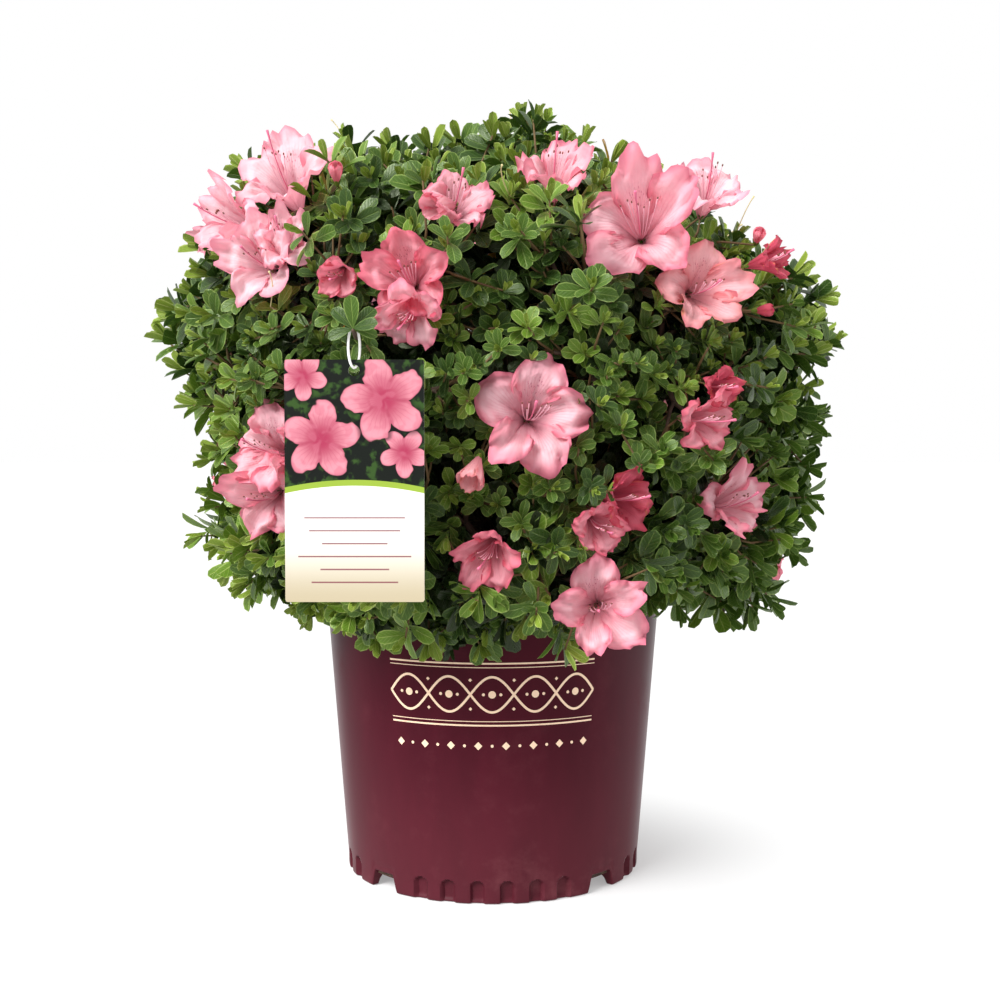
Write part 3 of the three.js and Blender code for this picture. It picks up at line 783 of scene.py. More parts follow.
def inFlower(point, flower):
    offset = point - flower['base']
    along = offset.dot(flower['facing'])
    share = along / flower['depth']
    if share < clear['foot'] or along > flower['depth'] + clear['ahead']:
        return False
    t = 1 - max(0, 1 - share) ** (1 / flowerForm['flare'])
    rim = clear['closedRim'] + clear['openRim'] * flower['open']
    width = flower['width'] * min(funnelRadius(t, flower['open']) + clear['wider'] * t, rim)
    return (offset - flower['facing'] * along).length < width + clear['aside'] * (share < clear['behind'])


def inTag(point):
    edge = clear['tagEdge']
    beside = abs(point.x - tag['x']) < tag['width'] / 2 + edge
    return beside and point.y < tag['y'] + clear['tagBack'] and tag['bottom'] - edge < point.z < tagTop + edge


def inLoop(point):
    beside = abs(point.x - loopMiddle.x) < clear['loopAside'] and point.y < tag['y'] + clear['loopBack']
    return beside and abs(point.z - loopMiddle.z) < clear['loopHeight']


def inPot(point):
    radius = math.hypot(point.x, point.y)
    if point.z > pot['height']:
        return radius < pot['lipRadius'] and point.z < pot['height'] + clear['lipTop']
    return radius < pot['lipRadius'] + clear['potSide']


def blocked(point, nearby):
    return inPot(point) or inTag(point) or inLoop(point) or any(inFlower(point, flower) for flower in nearby)


# Leaf blades: obovate, folded along the rib, in one UV tile
blade = {
    'across': 2, 'along': 5, 'tipRows': 1.5,  # more rows near the tip
    'shoulder': 0.8, 'tipRound': 3.4, 'widest': 0.63,  # the outline's powers, and its widest value
    'body': 0.97, 'stalk': 0.07, 'blunt': 0.16, 'point': 0.035,
}


def leafBlade(broad, fold, droop):
    def shape(s, t):
        t = 1 - (1 - t) ** blade['tipRows']
        atTip = t > 0.999
        taper = t ** blade['shoulder'] * np.sqrt(1 - t ** blade['tipRound']) / blade['widest']
        wide = broad / 2 * (blade['stalk'] * (1 - t) + blade['body'] * taper)
        wide = np.where(atTip, broad * blade['blunt'], wide)
        length = t - blade['point'] * s ** 2 * atTip
        lifted = fold * np.abs(s) * wide - droop * t ** 2
        return np.stack([s * wide, length, lifted], 1)
    return gridPart(blade['across'], blade['along'], shape)


# breadth, fold and droop of each shape, in leaf lengths
leafShapes = {
    'young': leafBlade(0.38, 0.75, -0.12),
    'long': leafBlade(0.48, 0.30, 0.12),
    'oval': leafBlade(0.48, 0.34, 0.18),
    'round': leafBlade(0.57, 0.30, 0.15),
}
leafTints = ('young', 'bright', 'mid', 'deep', 'shade', 'yellow')
leafStamps = {tint: {shape: [] for shape in leafShapes} for tint in leafTints}
twigRows = {'green': ([], []), 'brown': ([], [])}
outerShoots = []


def leafFrame(root, heading, normal, length):
    # a leaf's three axes at its length, and its root
    side = heading.cross(normal).normalized()
    return [[*(axis * length)] for axis in (side, heading, side.cross(heading))] + [[*root]]


def stamped(shape, frames):
    frames = np.array(frames)
    part = leafShapes[shape]
    return copies(part, np.einsum('nk,mkj->mnj', part['places'], frames[:, :3]) + frames[:, None, 3])


def addStem(stems, points, radii):
    stems[0].append(points)
    stems[1].append(radii)


def addLeaf(tint, shape, root, heading, normal, length, nearby=()):
    if not any(blocked(root + heading * (length * share), nearby) for share in (0.5, 1)):
        leafStamps[tint][shape].append(leafFrame(root, heading, normal, length))


def addRosette(tip, along, draw):
    layer = tip['layer']
    place = tip['place']
    axis = tip['axis']
    nearby = [flower for flower in flowers if (flower['base'] - place).length < leafForm['nearFlower']]
    full = lerp(*leafForm['length'], tip['size']) * layer['size'] * lerp(*leafForm['spread'], draw())
    kind = 'round'
    if tip['size'] + leafForm['longChance'] * draw() > leafForm['long']:
        kind = 'long'
    elif tip['size'] + leafForm['ovalChance'] * draw() > leafForm['oval']:
        kind = 'oval'
    first = axis.orthogonal().normalized()
    second = axis.cross(first)
    start = draw() * math.tau
    count = layer['leaves'] + int(draw() * 3) - 1
    depth = layers.index(layer)
    # painted light and shade: low on the left sprays get lighter tints, low on the right darker ones with no young
    # tint, and the inner layers darker ones
    side = outwardAt(place).x * (place.z < sprayTints['lowBelow'])
    edge = sprayTints['lowAside']
    row = 'paintedLightLowLeft' if side < -edge else 'paintedShadeLowRight' if side > edge else 'rest'
    tints = (sprayTints[row], sprayTints['second'], sprayTints['third'])[depth]
    sprayTint = tints[int(draw() * len(tints))]
    youngTint = sprayTints['youngPaintedShadeLowRight' if row == 'paintedShadeLowRight' else 'young']
    for i in range(count):
        age = i / (count - 1)
        tilt = math.radians(lerp(*leafForm['tilt'], age ** 0.75) + leafForm['tiltShake'] * (draw() - 0.5))
        turn = start + goldenAngle * i + leafForm['turnShake'] * (draw() - 0.5)
        aside = first * math.cos(turn) + second * math.sin(turn)
        heading = axis * math.cos(tilt) + aside * math.sin(tilt)
        normal = axis * math.sin(tilt) - aside * math.cos(tilt)
        normal = Quaternion(heading, leafForm['roll'] * (draw() - 0.5) * 2) @ normal
        length = full * lerp(leafForm['youngest'], 1, age ** 0.6) * lerp(*leafForm['lengths'], draw())
        root = place - along * (leafForm['stemGap'] * full * i)
        young = age < leafForm['youngBelow']
        if young and depth == 0:
            tint = youngTint
        else:
            tint = 'yellow' if draw() < leafForm['yellowShare'] else sprayTint
        addLeaf(tint, 'young' if young else kind, root, heading, normal, length, nearby)


twigForm = {
    'sag': 0.04, 'stiffer': 0.7,  # young twigs sag, older ones wander less
    'green': (1.15, 1, 0.75), 'brown': (1.12, 1, 0.95),  # their taper
    'overlap': 0.003, 'intoFlower': 0.001, 'sides': 5,
}
# leaves over the tag's loop: angle in the front view, lean to the front, length, tint, shape
hookLeaves = [
    (12, 0.7, 0.018, 'deep', 'long'), (166, 0.8, 0.018, 'mid', 'long'), (47, -0.2, 0.019, 'deep', 'oval'),
    (134, -0.1, 0.018, 'deep', 'long'), (93, 0.25, 0.020, 'mid', 'long'), (-14, 0.1, 0.015, 'mid', 'oval'),
    (198, 0.2, 0.016, 'deep', 'oval'), (70, 1.1, 0.012, 'mid', 'young'), (118, 1.2, 0.011, 'bright', 'young'),
    (20, 1.4, 0.012, 'mid', 'young'),
]


def growCrown():
    draw = seededRandom(spray['seed'])
    tips = [tip for layer in layers for tip in shootTips(layer, draw)]
    tips = [tip for tip in tips if not blocked(tip['place'], flowers)]
    outerShoots.extend(tip for tip in tips if tip['layer'] is layers[0])
    for flower in flowers:
        tips.append({'place': flower['base'] + flower['facing'] * twigForm['intoFlower'], 'flower': flower})
    owned = {id(mass): [] for mass in masses}
    for tip in tips:
        mass = tip['flower']['mass'] if 'flower' in tip else nearestMass(tip['place'])
        owned[id(mass)].append(tip)

    def addTwig(start, end, carried):
        length = (end - start).length
        wander = shaken(draw) * spray['wander'] * 2 * length
        thick = spray['tipRadius'] * carried ** spray['thicken']
        kind = 'green' if carried == 1 else 'brown'
        if carried == 1:
            middle = start.lerp(end, 0.5) + wander - up * twigForm['sag'] * length
        else:
            middle = start.lerp(end, 0.5) + wander * twigForm['stiffer']
        addStem(twigRows[kind], [start, middle, end], [thick * share for share in twigForm[kind]])

    for mass in masses:
        foot, along = mass['bend'].at(1), mass['bend'].along(1)
        heart = foot + along * (spray['heart'] * (mass['middle'] - foot).length)
        points = [foot - along * twigForm['overlap'], foot.lerp(heart, 0.5), heart]
        addStem(twigRows['brown'], points, [bough['tipRadius']] * 3)
        growTwigs(heart, owned[id(mass)], addTwig)
    for tip in tips:
        if 'layer' in tip:
            addRosette(tip, outwardAt(tip['place']), draw)
    growHook()


def growHook():
    # the twig that the tag's loop hangs on, with a few leaves at its end
    knee = hookTip + Vector((0, hook['inside'], -hook['rise']))
    middle = nearestMass(hookTip)['middle']
    thick, thin = hook['footRadius'], hook['radius']
    addStem(twigRows['brown'], [middle, middle.lerp(knee, 0.5), knee], [thick] * 3)
    points = [knee + Vector((0, hook['overlap'], 0)), knee.lerp(hookTip, 0.5), hookTip]
    addStem(twigRows['brown'], points, [thick, lerp(thick, thin, 0.5), thin])
    front = Vector(hook['leafFront']).normalized()
    root = hookTip + Vector(hook['leafRoot'])
    for turn, lean, length, tint, shape in hookLeaves:
        heading = Vector((math.cos(math.radians(turn)), -lean, math.sin(math.radians(turn)))).normalized()
        addLeaf(tint, shape, root, heading, front - heading * heading.dot(front) * hook['leafFlat'], length)


growCrown()
print('crown grown:', sum(len(rows) for rows, widths in twigRows.values()), 'twigs')


# Leaf finishes: one for each tint, every one a pattern on the blade's own UVs
leafPaints = {
    'young': {'blade': (118, 141, 48), 'rib': (172, 182, 104), 'margin': (180, 190, 112)},
    'bright': {'blade': (91, 121, 37), 'rib': (148, 166, 86), 'margin': (160, 177, 98)},
    'mid': {'blade': (65, 93, 30), 'rib': (118, 140, 70), 'margin': (136, 157, 84)},
    'deep': {'blade': (43, 67, 23), 'rib': (88, 110, 54), 'margin': (104, 127, 66)},
    'shade': {'blade': (22, 36, 12), 'rib': (42, 58, 27), 'margin': (44, 60, 28)},
    'yellow': {'blade': (184, 140, 44), 'rib': (198, 166, 78), 'margin': (186, 98, 42)},
}
leafDetail = {
    'ribWidth': 0.12, 'marginStart': 0.79, 'veins': 7, 'veinSlant': 2.2, 'mottle': 0.52, 'dark': 0.72,
    'ribShare': 0.8, 'veinShare': 0.22, 'marginAndPaintedHighlightShare': 0.8,
    'roughness': 0.27, 'gloss': 0.36, 'glossTint': (0.90, 1, 0.70, 1), 'relief': 0.0009,
    'through': 0.12, 'lit': 1.3,
}


def leafFinish(tint):
    detail = leafDetail
    finish = Finish(f'leaf_{tint}', Specular_IOR_Level=detail['gloss'], Specular_Tint=detail['glossTint'])
    uv = finish.uv()
    u, v, flat = finish.axes(uv)
    across = abs(u - 0.5) * 2
    rib = across.rise(detail['ribWidth'], 0.02) * v.rise(1.0, 0.75)
    # a pale margin round the blade, partly the leaf's own edge and partly a painted highlight along it
    margin = across.rise(detail['marginStart'], 0.98).most(v.rise(0.90, 1.0))
    veins = ((v * detail['veins'] - across * detail['veinSlant']) * math.tau).sin().rise(0.55, 1)
    mottle = finish.stir(uv, 5, 4, 0.6).rise(0.35, 0.7)
    colours = painted(leafPaints[tint])
    finish.feed('Base Color', finish.layered(
        colours['blade'],
        (mottle * detail['mottle'], dimmed(colours['blade'], detail['dark'])),
        (veins * detail['veinShare'], colours['rib']),
        (margin * detail['marginAndPaintedHighlightShare'], colours['margin']),
        (rib * detail['ribShare'], colours['rib'])))
    finish.feed('Roughness', detail['roughness'] + mottle * 0.12 - margin * 0.05)
    surface = 1 - rib * 0.9 - veins * 0.35 + mottle * 0.15 - across * across * 0.5
    finish.bump(surface, 0.6, detail['relief'])
    finish.glow(dimmed(colours['blade'], detail['lit']), detail['through'])
    return finish


leafCount = 0
for tint in leafTints:
    parts = [stamped(shape, frames) for shape, frames in leafStamps[tint].items() if frames]
    leafCount += sum(len(frames) for frames in leafStamps[tint].values())
    makePiece(f'leaves_{tint}', parts, leafFinish(tint), massNames)
    print(f'leaves_{tint}:', sum(len(part['sizes']) for part in parts) * 2, 'triangles')
print('leaves:', leafCount)


# Twigs
twigPaints = {
    'green': {'low': (84, 58, 34), 'high': (104, 86, 44)},
    'brown': {'low': (58, 42, 31), 'high': (88, 67, 50)},
}


def twigFinish(kind):
    finish = Finish(f'twig_{kind}')
    uv = finish.uv()
    u, v, flat = finish.axes(uv)
    grain = finish.stir(finish.vector(u * 6, v * 22), 1.6, 4, 0.65)
    scars = ((v * 9 + grain * 0.6) % 1.0).rise(0.86, 0.97)
    paints = painted(twigPaints[kind])
    finish.feed('Base Color', finish.layered(
        paints['low'], (grain.rise(0.35, 0.68), paints['high']), (scars * 0.5, paints['low'])))
    finish.feed('Roughness', 0.62 + grain * 0.2)
    finish.bump(grain - scars * 0.5, 0.5, 0.0004)
    return finish


for kind, (rows, widths) in twigRows.items():
    part = sweep(rows, widths, twigForm['sides'])
    makePiece(f'twigs_{kind}', [part], twigFinish(kind), massNames)
print('twigs done')


# Trunk and boughs: tapered limbs bent along their routes, with ridged bark
barkForm = {
    'trunk': (28, 44), 'bough': (14, 26),  # sides and rings
    'relief': 0.055, 'sunk': 0.6, 'lumps': 0.7, 'ridges': 0.9,
    # how fine lumps and ridges are: across a limb, along it, from place to place
    'lumpGrain': (2.2, 5, 7), 'ridgeGrain': (4.5, 2.5, 9),
}
barkPaints = {'low': (104, 82, 64), 'high': (142, 120, 98), 'grain': (82, 62, 46), 'crack': (52, 38, 28)}


def limbPart(bend, radiusAt, sides, rings):
    part = tubePart(sides, rings)
    relief = barkForm['relief']
    places = []
    for x, y, z in part['places']:
        along = bend.along(z)
        first = along.cross(Vector((0.2, 1, 0.1))).normalized()
        second = along.cross(first)
        centre = bend.at(z)
        aside = first * x + second * y
        lumps, ridges = (noise.noise(Vector((x * fine, y * fine, z * slow)) + centre * far)
                         for fine, slow, far in (barkForm['lumpGrain'], barkForm['ridgeGrain']))
        raised = barkForm['lumps'] * lumps + barkForm['ridges'] * abs(ridges)
        places.append(centre + aside * (radiusAt(z) * (1 - relief * barkForm['sunk'] + relief * raised)))
    part['places'] = np.array([[*place] for place in places])
    return part


def barkFinish():
    finish = Finish('bark')
    uv = finish.uv()
    u, v, flat = finish.axes(uv)
    place = finish.place()
    paints = painted(barkPaints)
    plates = finish.cells(finish.vector(u * 14, v * 9), 1, 'DISTANCE_TO_EDGE')
    grain = finish.stir(place, 420, 5, 0.7)
    broad = finish.stir(place, 60, 2)
    cracks = plates.rise(0.12, 0.0)
    finish.feed('Base Color', finish.layered(
        paints['low'],
        (broad.rise(0.35, 0.65), paints['high']),
        (grain.rise(0.4, 0.75) * 0.6, paints['grain']),
        (cracks * 0.7, paints['crack'])))
    finish.feed('Roughness', 0.78 + grain * 0.15)
    finish.bump(grain * 0.5 - cracks, 0.7, 0.0012)
    return finish


bark = barkFinish()
makePiece('trunkBark', [limbPart(trunkBend, trunkRadius, *barkForm['trunk'])], bark, ['trunk'])
boughParts = [limbPart(mass['bend'], boughRadius, *barkForm['bough']) for mass in masses]
makePiece('boughBark', boughParts, bark, boughNames)
print('trunk and boughs done')


# Flowers: five wavy lobes joined in a funnel, then calyx, stamens and style
petalForm = {
    'across': 20, 'along': 22, 'split': 0.36, 'overlap': 0.36,
    'point': (0.11, 0.27), 'notch': 0.35,  # how much shorter a lobe's margin is: near its tip, between lobes
    'fold': 0.060, 'foldSize': 0.20,  # soft folds, in flower widths
    'ruffle': 0.110, 'ruffleSize': 0.080,  # crinkles of the margin
    'crease': (-0.10, 0.16),  # a lobe is bent along its middle
    # how lobes differ: they roll back, curl at the margin, lift, twist, and are longer or shorter
    'recurve': (-0.4, 1.5), 'curl': (-0.07, 0.09), 'lift': (-0.20, 0.26), 'twist': (-0.24, 0.24),
    'rollFrom': 0.68, 'upperLong': 1.02, 'long': (0.86, 1.04),
    'midrib': 0.022, 'midribWidth': 0.13, 'budDepth': 0.30, 'budBelly': 0.12, 'budMouth': 0.07,
    'closedFolds': 0.25,  # how deep folds are in a bud
    'layers': (0.022, -0.022, 0.012, -0.010, 0.0),  # which lobe lies over its neighbours
}


def wrinkles(s, t, size, seed):
    return np.array([noise.noise(Vector((a / size, b / size, seed))) for a, b in zip(s * 0.36, t * 0.62)])


def corollaPart(flower, lobe, draw):
    width = flower['width']
    openness = flower['open']
    split = petalForm['split']
    seed = draw() * 50
    recurve, curl, lift = (lerp(*petalForm[key], draw()) * openness for key in ('recurve', 'curl', 'lift'))
    twist = lerp(*petalForm['twist'], draw())
    crease = lerp(*petalForm['crease'], draw()) * openness
    point = lerp(*petalForm['point'], draw())
    long = petalForm['upperLong'] if lobe == 0 else lerp(*petalForm['long'], draw())
    closed = (1 - openness) ** 2
    upDirection = flower['up']
    side = flower['facing'].cross(upDirection)
    frameAxes = np.array([[*upDirection], [*side], [*flower['facing']]])

    def shape(s, t):
        # radius and height in the funnel; the lobe is free of its neighbours above the split
        edge = np.abs(s)
        margin = np.maximum(edge ** 2.5, t ** 5)
        fold = wrinkles(s, t, petalForm['foldSize'], seed)
        ruffle = wrinkles(s, t, petalForm['ruffleSize'], seed + 9)
        t = t * (1 - point * edge - (petalForm['notch'] - point) * edge ** 4)
        free = np.clip((t - split) / (1 - split), 0, 1)
        t = t * (1 + 0.10 * margin * ruffle * free)
        radius = funnelRadius(t, openness)
        belly = petalForm['budBelly'] * np.sin(math.pi * np.clip(t, 0, 1) ** 1.2)
        radius = radius + closed * (belly - petalForm['budMouth'] * t ** 4)
        radius = width * radius * (1 + (long - 1) * free)
        deep = width * (flowerForm['depth'] + petalForm['budDepth'] * (1 - openness))
        height = deep * (1 - np.clip(1 - t, 0, 1) ** flowerForm['flare'])
        height -= width * recurve * np.clip(t - petalForm['rollFrom'], 0, 1) ** 2
        # folds stand square to the funnel's wall
        slopeR = width * (0.10 + 0.88 * openness * t ** 1.2)
        slopeH = width * flowerForm['depth'] * 1.8 * np.clip(1 - t, 0, 1) ** 0.8 + 1e-6
        slope = np.hypot(slopeR, slopeH)
        normalR, normalH = -slopeH / slope, slopeR / slope
        wave = 2 * petalForm['fold'] * fold * free + 2 * petalForm['ruffle'] * ruffle * margin * free
        wave += curl * s ** 2 * free ** 1.5 + lift * free ** 1.6 + crease * (edge - 0.4) * free ** 1.3
        wave -= petalForm['midrib'] * np.exp(-(s / petalForm['midribWidth']) ** 2) * np.clip(1.15 - free, 0, 1)
        wave += petalForm['layers'][lobe] * free
        wave *= width * lerp(petalForm['closedFolds'], 1, openness)
        radius = radius + normalR * wave
        height = height + normalH * wave
        radius = np.maximum(radius, 0.0002 * (t > 0))
        half = math.radians(36) * (1 + petalForm['overlap'] * np.sin(math.pi * 0.86 * free ** 0.9))
        angle = math.radians(72) * lobe + s * half + twist * free ** 1.5
        angle = angle + 0.16 * edge ** 3 * ruffle * free
        local = np.stack([radius * np.cos(angle), radius * np.sin(angle), height], 1)
        return local @ frameAxes + np.array(flower['base'][:])
    return gridPart(petalForm['across'], petalForm['along'], shape, (lobe / 5, 0, (lobe + 1) / 5, 1))


petalPaints = {
    'pale': {'body': (250, 215, 221), 'edge': (236, 160, 177), 'throat': (240, 158, 177), 'speck': (188, 52, 100)},
    'pink': {'body': (250, 202, 210), 'edge': (228, 118, 142), 'throat': (238, 132, 156), 'speck': (180, 44, 92)},
    'coral': {'body': (246, 168, 180), 'edge': (218, 92, 116), 'throat': (220, 100, 126), 'speck': (168, 34, 80)},
    'deep': {'body': (210, 90, 110), 'edge': (184, 54, 78), 'throat': (158, 36, 64), 'speck': (134, 24, 54)},
    'aged': {'body': (244, 190, 194), 'edge': (224, 134, 136), 'throat': (220, 120, 136), 'speck': (168, 42, 82)},
}
petalDetail = {
    'veins': 8, 'veinShare': 0.42, 'rimShare': 0.80, 'lineShare': 0.40, 'throatAndPaintedShadeShare': 0.55, 'speckShare': 0.85,
    'roughness': 0.55, 'sheen': 0.10, 'relief': 0.0014,
    'through': 0.40, 'lit': (250, 96, 130), 'litShare': 0.45,
    'worn': ('aged', 'deep'), 'wornPaint': (196, 120, 70),
}


def petalFinish(tint):
    detail = petalDetail
    finish = Finish(f'petal_{tint}', Sheen_Weight=detail['sheen'], Sheen_Roughness=0.4)
    u, v, flat = finish.axes(finish.uv())
    lobe = u * 5
    s = (lobe % 1.0 - 0.5) * 2
    edge = abs(s)
    rim = (edge.rise(0.45, 1.0) * v.rise(0.3, 0.7)).most(v.rise(0.78, 1.0))
    cloud = finish.stir(finish.vector(u * 9, v * 2.6), 1.5, 3, 0.55)
    veins = ((s * detail['veins'] * (1 + 0.25 * v) + cloud * 0.8) * math.pi).sin()
    veins = abs(veins).rise(0.80, 1.0) * v.rise(1.0, 0.35)
    line = edge.rise(0.88, 1.0).most(v.rise(0.94, 1.0))
    # specks in the upper lobe's throat
    spots = finish.cells(finish.vector(s, v * 1.25), 15).rise(0.30, 0.18)
    blotch = lobe.rise(1.01, 0.99) * edge.rise(0.62, 0.35) * v.rise(0.34, 0.42) * v.rise(0.78, 0.66)
    colours = painted(petalPaints[tint])
    # the throat is deeper pink towards the funnel's foot, partly the flower's own colour and partly painted shade in
    # the funnel
    colour = finish.layered(
        colours['body'],
        (cloud.rise(0.3, 0.75) * 0.4, colours['edge']),
        (rim * detail['rimShare'], colours['edge']),
        (line * detail['lineShare'], colours['speck']),
        (veins * detail['veinShare'], colours['throat']),
        (v.rise(0.62, 0.15) * detail['throatAndPaintedShadeShare'], colours['throat']),
        (spots * blotch * detail['speckShare'], colours['speck']))
    if tint in detail['worn']:
        worn = finish.stir(finish.vector(u * 16, v * 3), 1.3, 2).rise(0.56, 0.68) * rim
        colour = finish.mix(worn * 0.85, colour, paint(*detail['wornPaint']))
    finish.feed('Base Color', colour)
    finish.feed('Roughness', detail['roughness'] + cloud * 0.1)
    crinkle = finish.stir(finish.vector(u * 30, v * 7), 2.2, 2, 0.5)
    finish.bump(cloud * 0.4 + crinkle * 0.5 - veins * 0.5, 0.6, detail['relief'])
    petal = blended(colours['body'], colours['edge'], 0.3)
    finish.glow(blended(petal, paint(*detail['lit']), detail['litShare']), detail['through'])
    return finish


petalParts = {tint: [] for tint in petalPaints}
threadRows = {'filament': ([], []), 'style': ([], []), 'dryStyle': ([], [])}
antherPlaces = []
sepalStamps = []
# stamens and style, in flower widths but for the radii
threadForm = {
    'count': 7, 'openFrom': 0.4, 'steps': 7, 'sides': 5, 'start': 0.08,
    'reach': (0.62, 0.80), 'styleReach': 0.95, 'spread': 0.12, 'spreads': (0.7, 1.3), 'styleAside': 0.1,
    'sag': 0.05, 'sagMore': 0.03, 'lift': (0.03, 0.10), 'bendAt': 0.55, 'bendAside': 0.45,
    'filamentRadius': 0.00027, 'filamentTip': 1, 'styleRadius': 0.00042, 'styleTip': 2.4,
}
calyx = {'sepals': 5, 'length': 0.006, 'slant': 0.55, 'aside': 0.0008}
dryStyles = {
    'every': 52, 'lowest': 0.40, 'seed': 61, 'length': (0.022, 0.036), 'radius': 0.0004, 'stigma': 1.9,
    'droop': 0.2, 'bow': 0.4,
}


def facingUp(facing, roll):
    upright = up - facing * up.dot(facing)
    if upright.length < 0.2:
        upright = Vector((0, 1, 0)) - facing * facing.y
    return Quaternion(facing, roll) @ upright.normalized()


def addThread(kind, bend, radius, last):
    steps = threadForm['steps']
    addStem(threadRows[kind], [bend.at(k / steps) for k in range(steps + 1)], [radius] * (steps - 1) + last)


def addThreads(flower, draw):
    form = threadForm
    base, facing, width, upright = (flower[key] for key in ('base', 'facing', 'width', 'up'))
    side = facing.cross(upright)
    if flower['open'] < form['openFrom']:
        return
    for i in range(form['count'] + 1):
        style = i == form['count']
        spread = form['styleAside'] if style else (i / (form['count'] - 1) - 0.5) * 2
        reach = (form['styleReach'] if style else lerp(*form['reach'], draw())) * width
        aside = side * spread * form['spread'] * width * lerp(*form['spreads'], draw())
        sag = upright * (-form['sag'] - form['sagMore'] * draw()) * width
        tip = base + facing * reach + aside + upright * lerp(*form['lift'], draw()) * width
        middle = base + facing * reach * form['bendAt'] + aside * form['bendAside'] + sag
        bend = Bend(base + facing * form['start'] * width, middle, tip)
        kind = 'style' if style else 'filament'
        radius = form[kind + 'Radius']
        addThread(kind, bend, radius, [radius * 1.1, radius * form[kind + 'Tip']])
        if not style:
            antherPlaces.append((tip, bend.along(1)))


def addCalyx(flower):
    facing = flower['facing']
    first = facing.orthogonal().normalized()
    second = facing.cross(first)
    for i in range(calyx['sepals']):
        turn = i * math.tau / calyx['sepals']
        aside = first * math.cos(turn) + second * math.sin(turn)
        heading = (facing + aside * calyx['slant']).normalized()
        sepalStamps.append(leafFrame(flower['base'] + aside * calyx['aside'], heading, -aside, calyx['length']))


def makeFlowers():
    draw = seededRandom(flowerForm['seed'])
    for flower in flowers:
        flower['up'] = facingUp(flower['facing'], flowerForm['roll'] * (draw() - 0.5))
        for lobe in range(5):
            petalParts[flower['tint']].append(corollaPart(flower, lobe, draw))
        addThreads(flower, draw)
        addCalyx(flower)


def addDryStyles():
    # thin curved threads that dropped flowers left behind
    draw = seededRandom(dryStyles['seed'])
    radius = dryStyles['radius']
    for shoot in outerShoots[::dryStyles['every']]:
        start = shoot['place']
        if start.z < dryStyles['lowest']:
            continue
        outward = shoot['axis']
        side = outward.cross(up).normalized() * (draw() - 0.5)
        length = lerp(*dryStyles['length'], draw())
        tip = start + (outward + up * (draw() - dryStyles['droop']) + side).normalized() * length
        bend = Bend(start, start.lerp(tip, 0.5) + (side + up * dryStyles['bow']) * length * 0.5, tip)
        addThread('dryStyle', bend, radius, [radius, radius * dryStyles['stigma']])


makeFlowers()
addDryStyles()
for tint, parts in petalParts.items():
    makePiece(f'petals_{tint}', parts, petalFinish(tint), massNames)


def threadFinish(name, colour, roughness):
    finish = Finish(name)
    uv = finish.uv()
    grain = finish.stir(uv, 4, 3)
    finish.feed('Base Color', finish.mix(grain, paint(*colour), dimmed(paint(*colour), 0.8)))
    finish.feed('Roughness', roughness + grain * 0.1)
    return finish


threadPaints = {'filament': (236, 176, 190), 'style': (218, 104, 136), 'dryStyle': (206, 190, 140)}
for kind, (rows, widths) in threadRows.items():
    part = sweep(rows, widths, threadForm['sides'])
    makePiece(f'{kind}s', [part], threadFinish(f'{kind}Finish', threadPaints[kind], 0.5), massNames)


def antherPart():
    bm = bmesh.new()
    bmesh.ops.create_icosphere(bm, subdivisions=1, radius=1)
    return partOf(bm, lambda face, loop: (loop.vert.co.x / 2 + 0.5, loop.vert.co.z / 2 + 0.5))


anther = antherPart()
antherForm = {'size': (0.0006, 0.0006, 0.0011), 'paint': (120, 62, 50), 'roughness': 0.6}
antherCopies = copies(anther, np.array([
    (anther['places'] * antherForm['size']) @ np.array(along.to_track_quat('Z', 'Y').to_matrix()).T + [*place]
    for place, along in antherPlaces]))
antherFinish = threadFinish('antherFinish', antherForm['paint'], antherForm['roughness'])
makePiece('anthers', [antherCopies], antherFinish, massNames)
makePiece('sepals', [stamped('young', sepalStamps)], leafFinish('bright'), massNames)
print('flowers:', len(flowers))


# Pot: a turned shell with flutes and drain notches worked into its foot
potForm = {
    'turns': 540, 'footRows': 20, 'wallRows': 12, 'footTop': 0.020, 'footEdge': 0.0012, 'rounding': 0.001,
    'lipDrop': 0.006, 'smoothBelow': 38,
    # the flutes, one set on each foot: angles and half width in degrees, a round top, less deep at the ground
    'fluteAngles': (-27, -16.2, -5.4, 5.4, 16.2, 27), 'fluteHalf': 2.6, 'fluteHeight': 0.0165, 'fluteDepth': 0.0034,
    'archHeight': 0.005, 'fluteFloor': 0.72, 'fluteEdge': 0.25, 'toe': 0.004, 'toeShare': 0.55,
    'skin': 0.0016,  # how near the outer wall a point is that flutes shape
    'swell': 0.0005, 'swellBetween': (0.002, 0.012),
    'notchSlope': 1.2, 'squeezeBelow': 0.022, 'shapeBelow': 0.024,  # above a notch the wall is squeezed upwards
}
lipBottom = pot['height'] - pot['lipDepth']


def wallRadius(z):
    return lerp(pot['footRadius'], pot['rimRadius'], z / lipBottom)


def arc(centre, radius, start, end, steps):
    angles = [math.radians(lerp(start, end, i / steps)) for i in range(steps + 1)]
    return [(centre[0] + radius * math.cos(angle), centre[1] + radius * math.sin(angle)) for angle in angles]


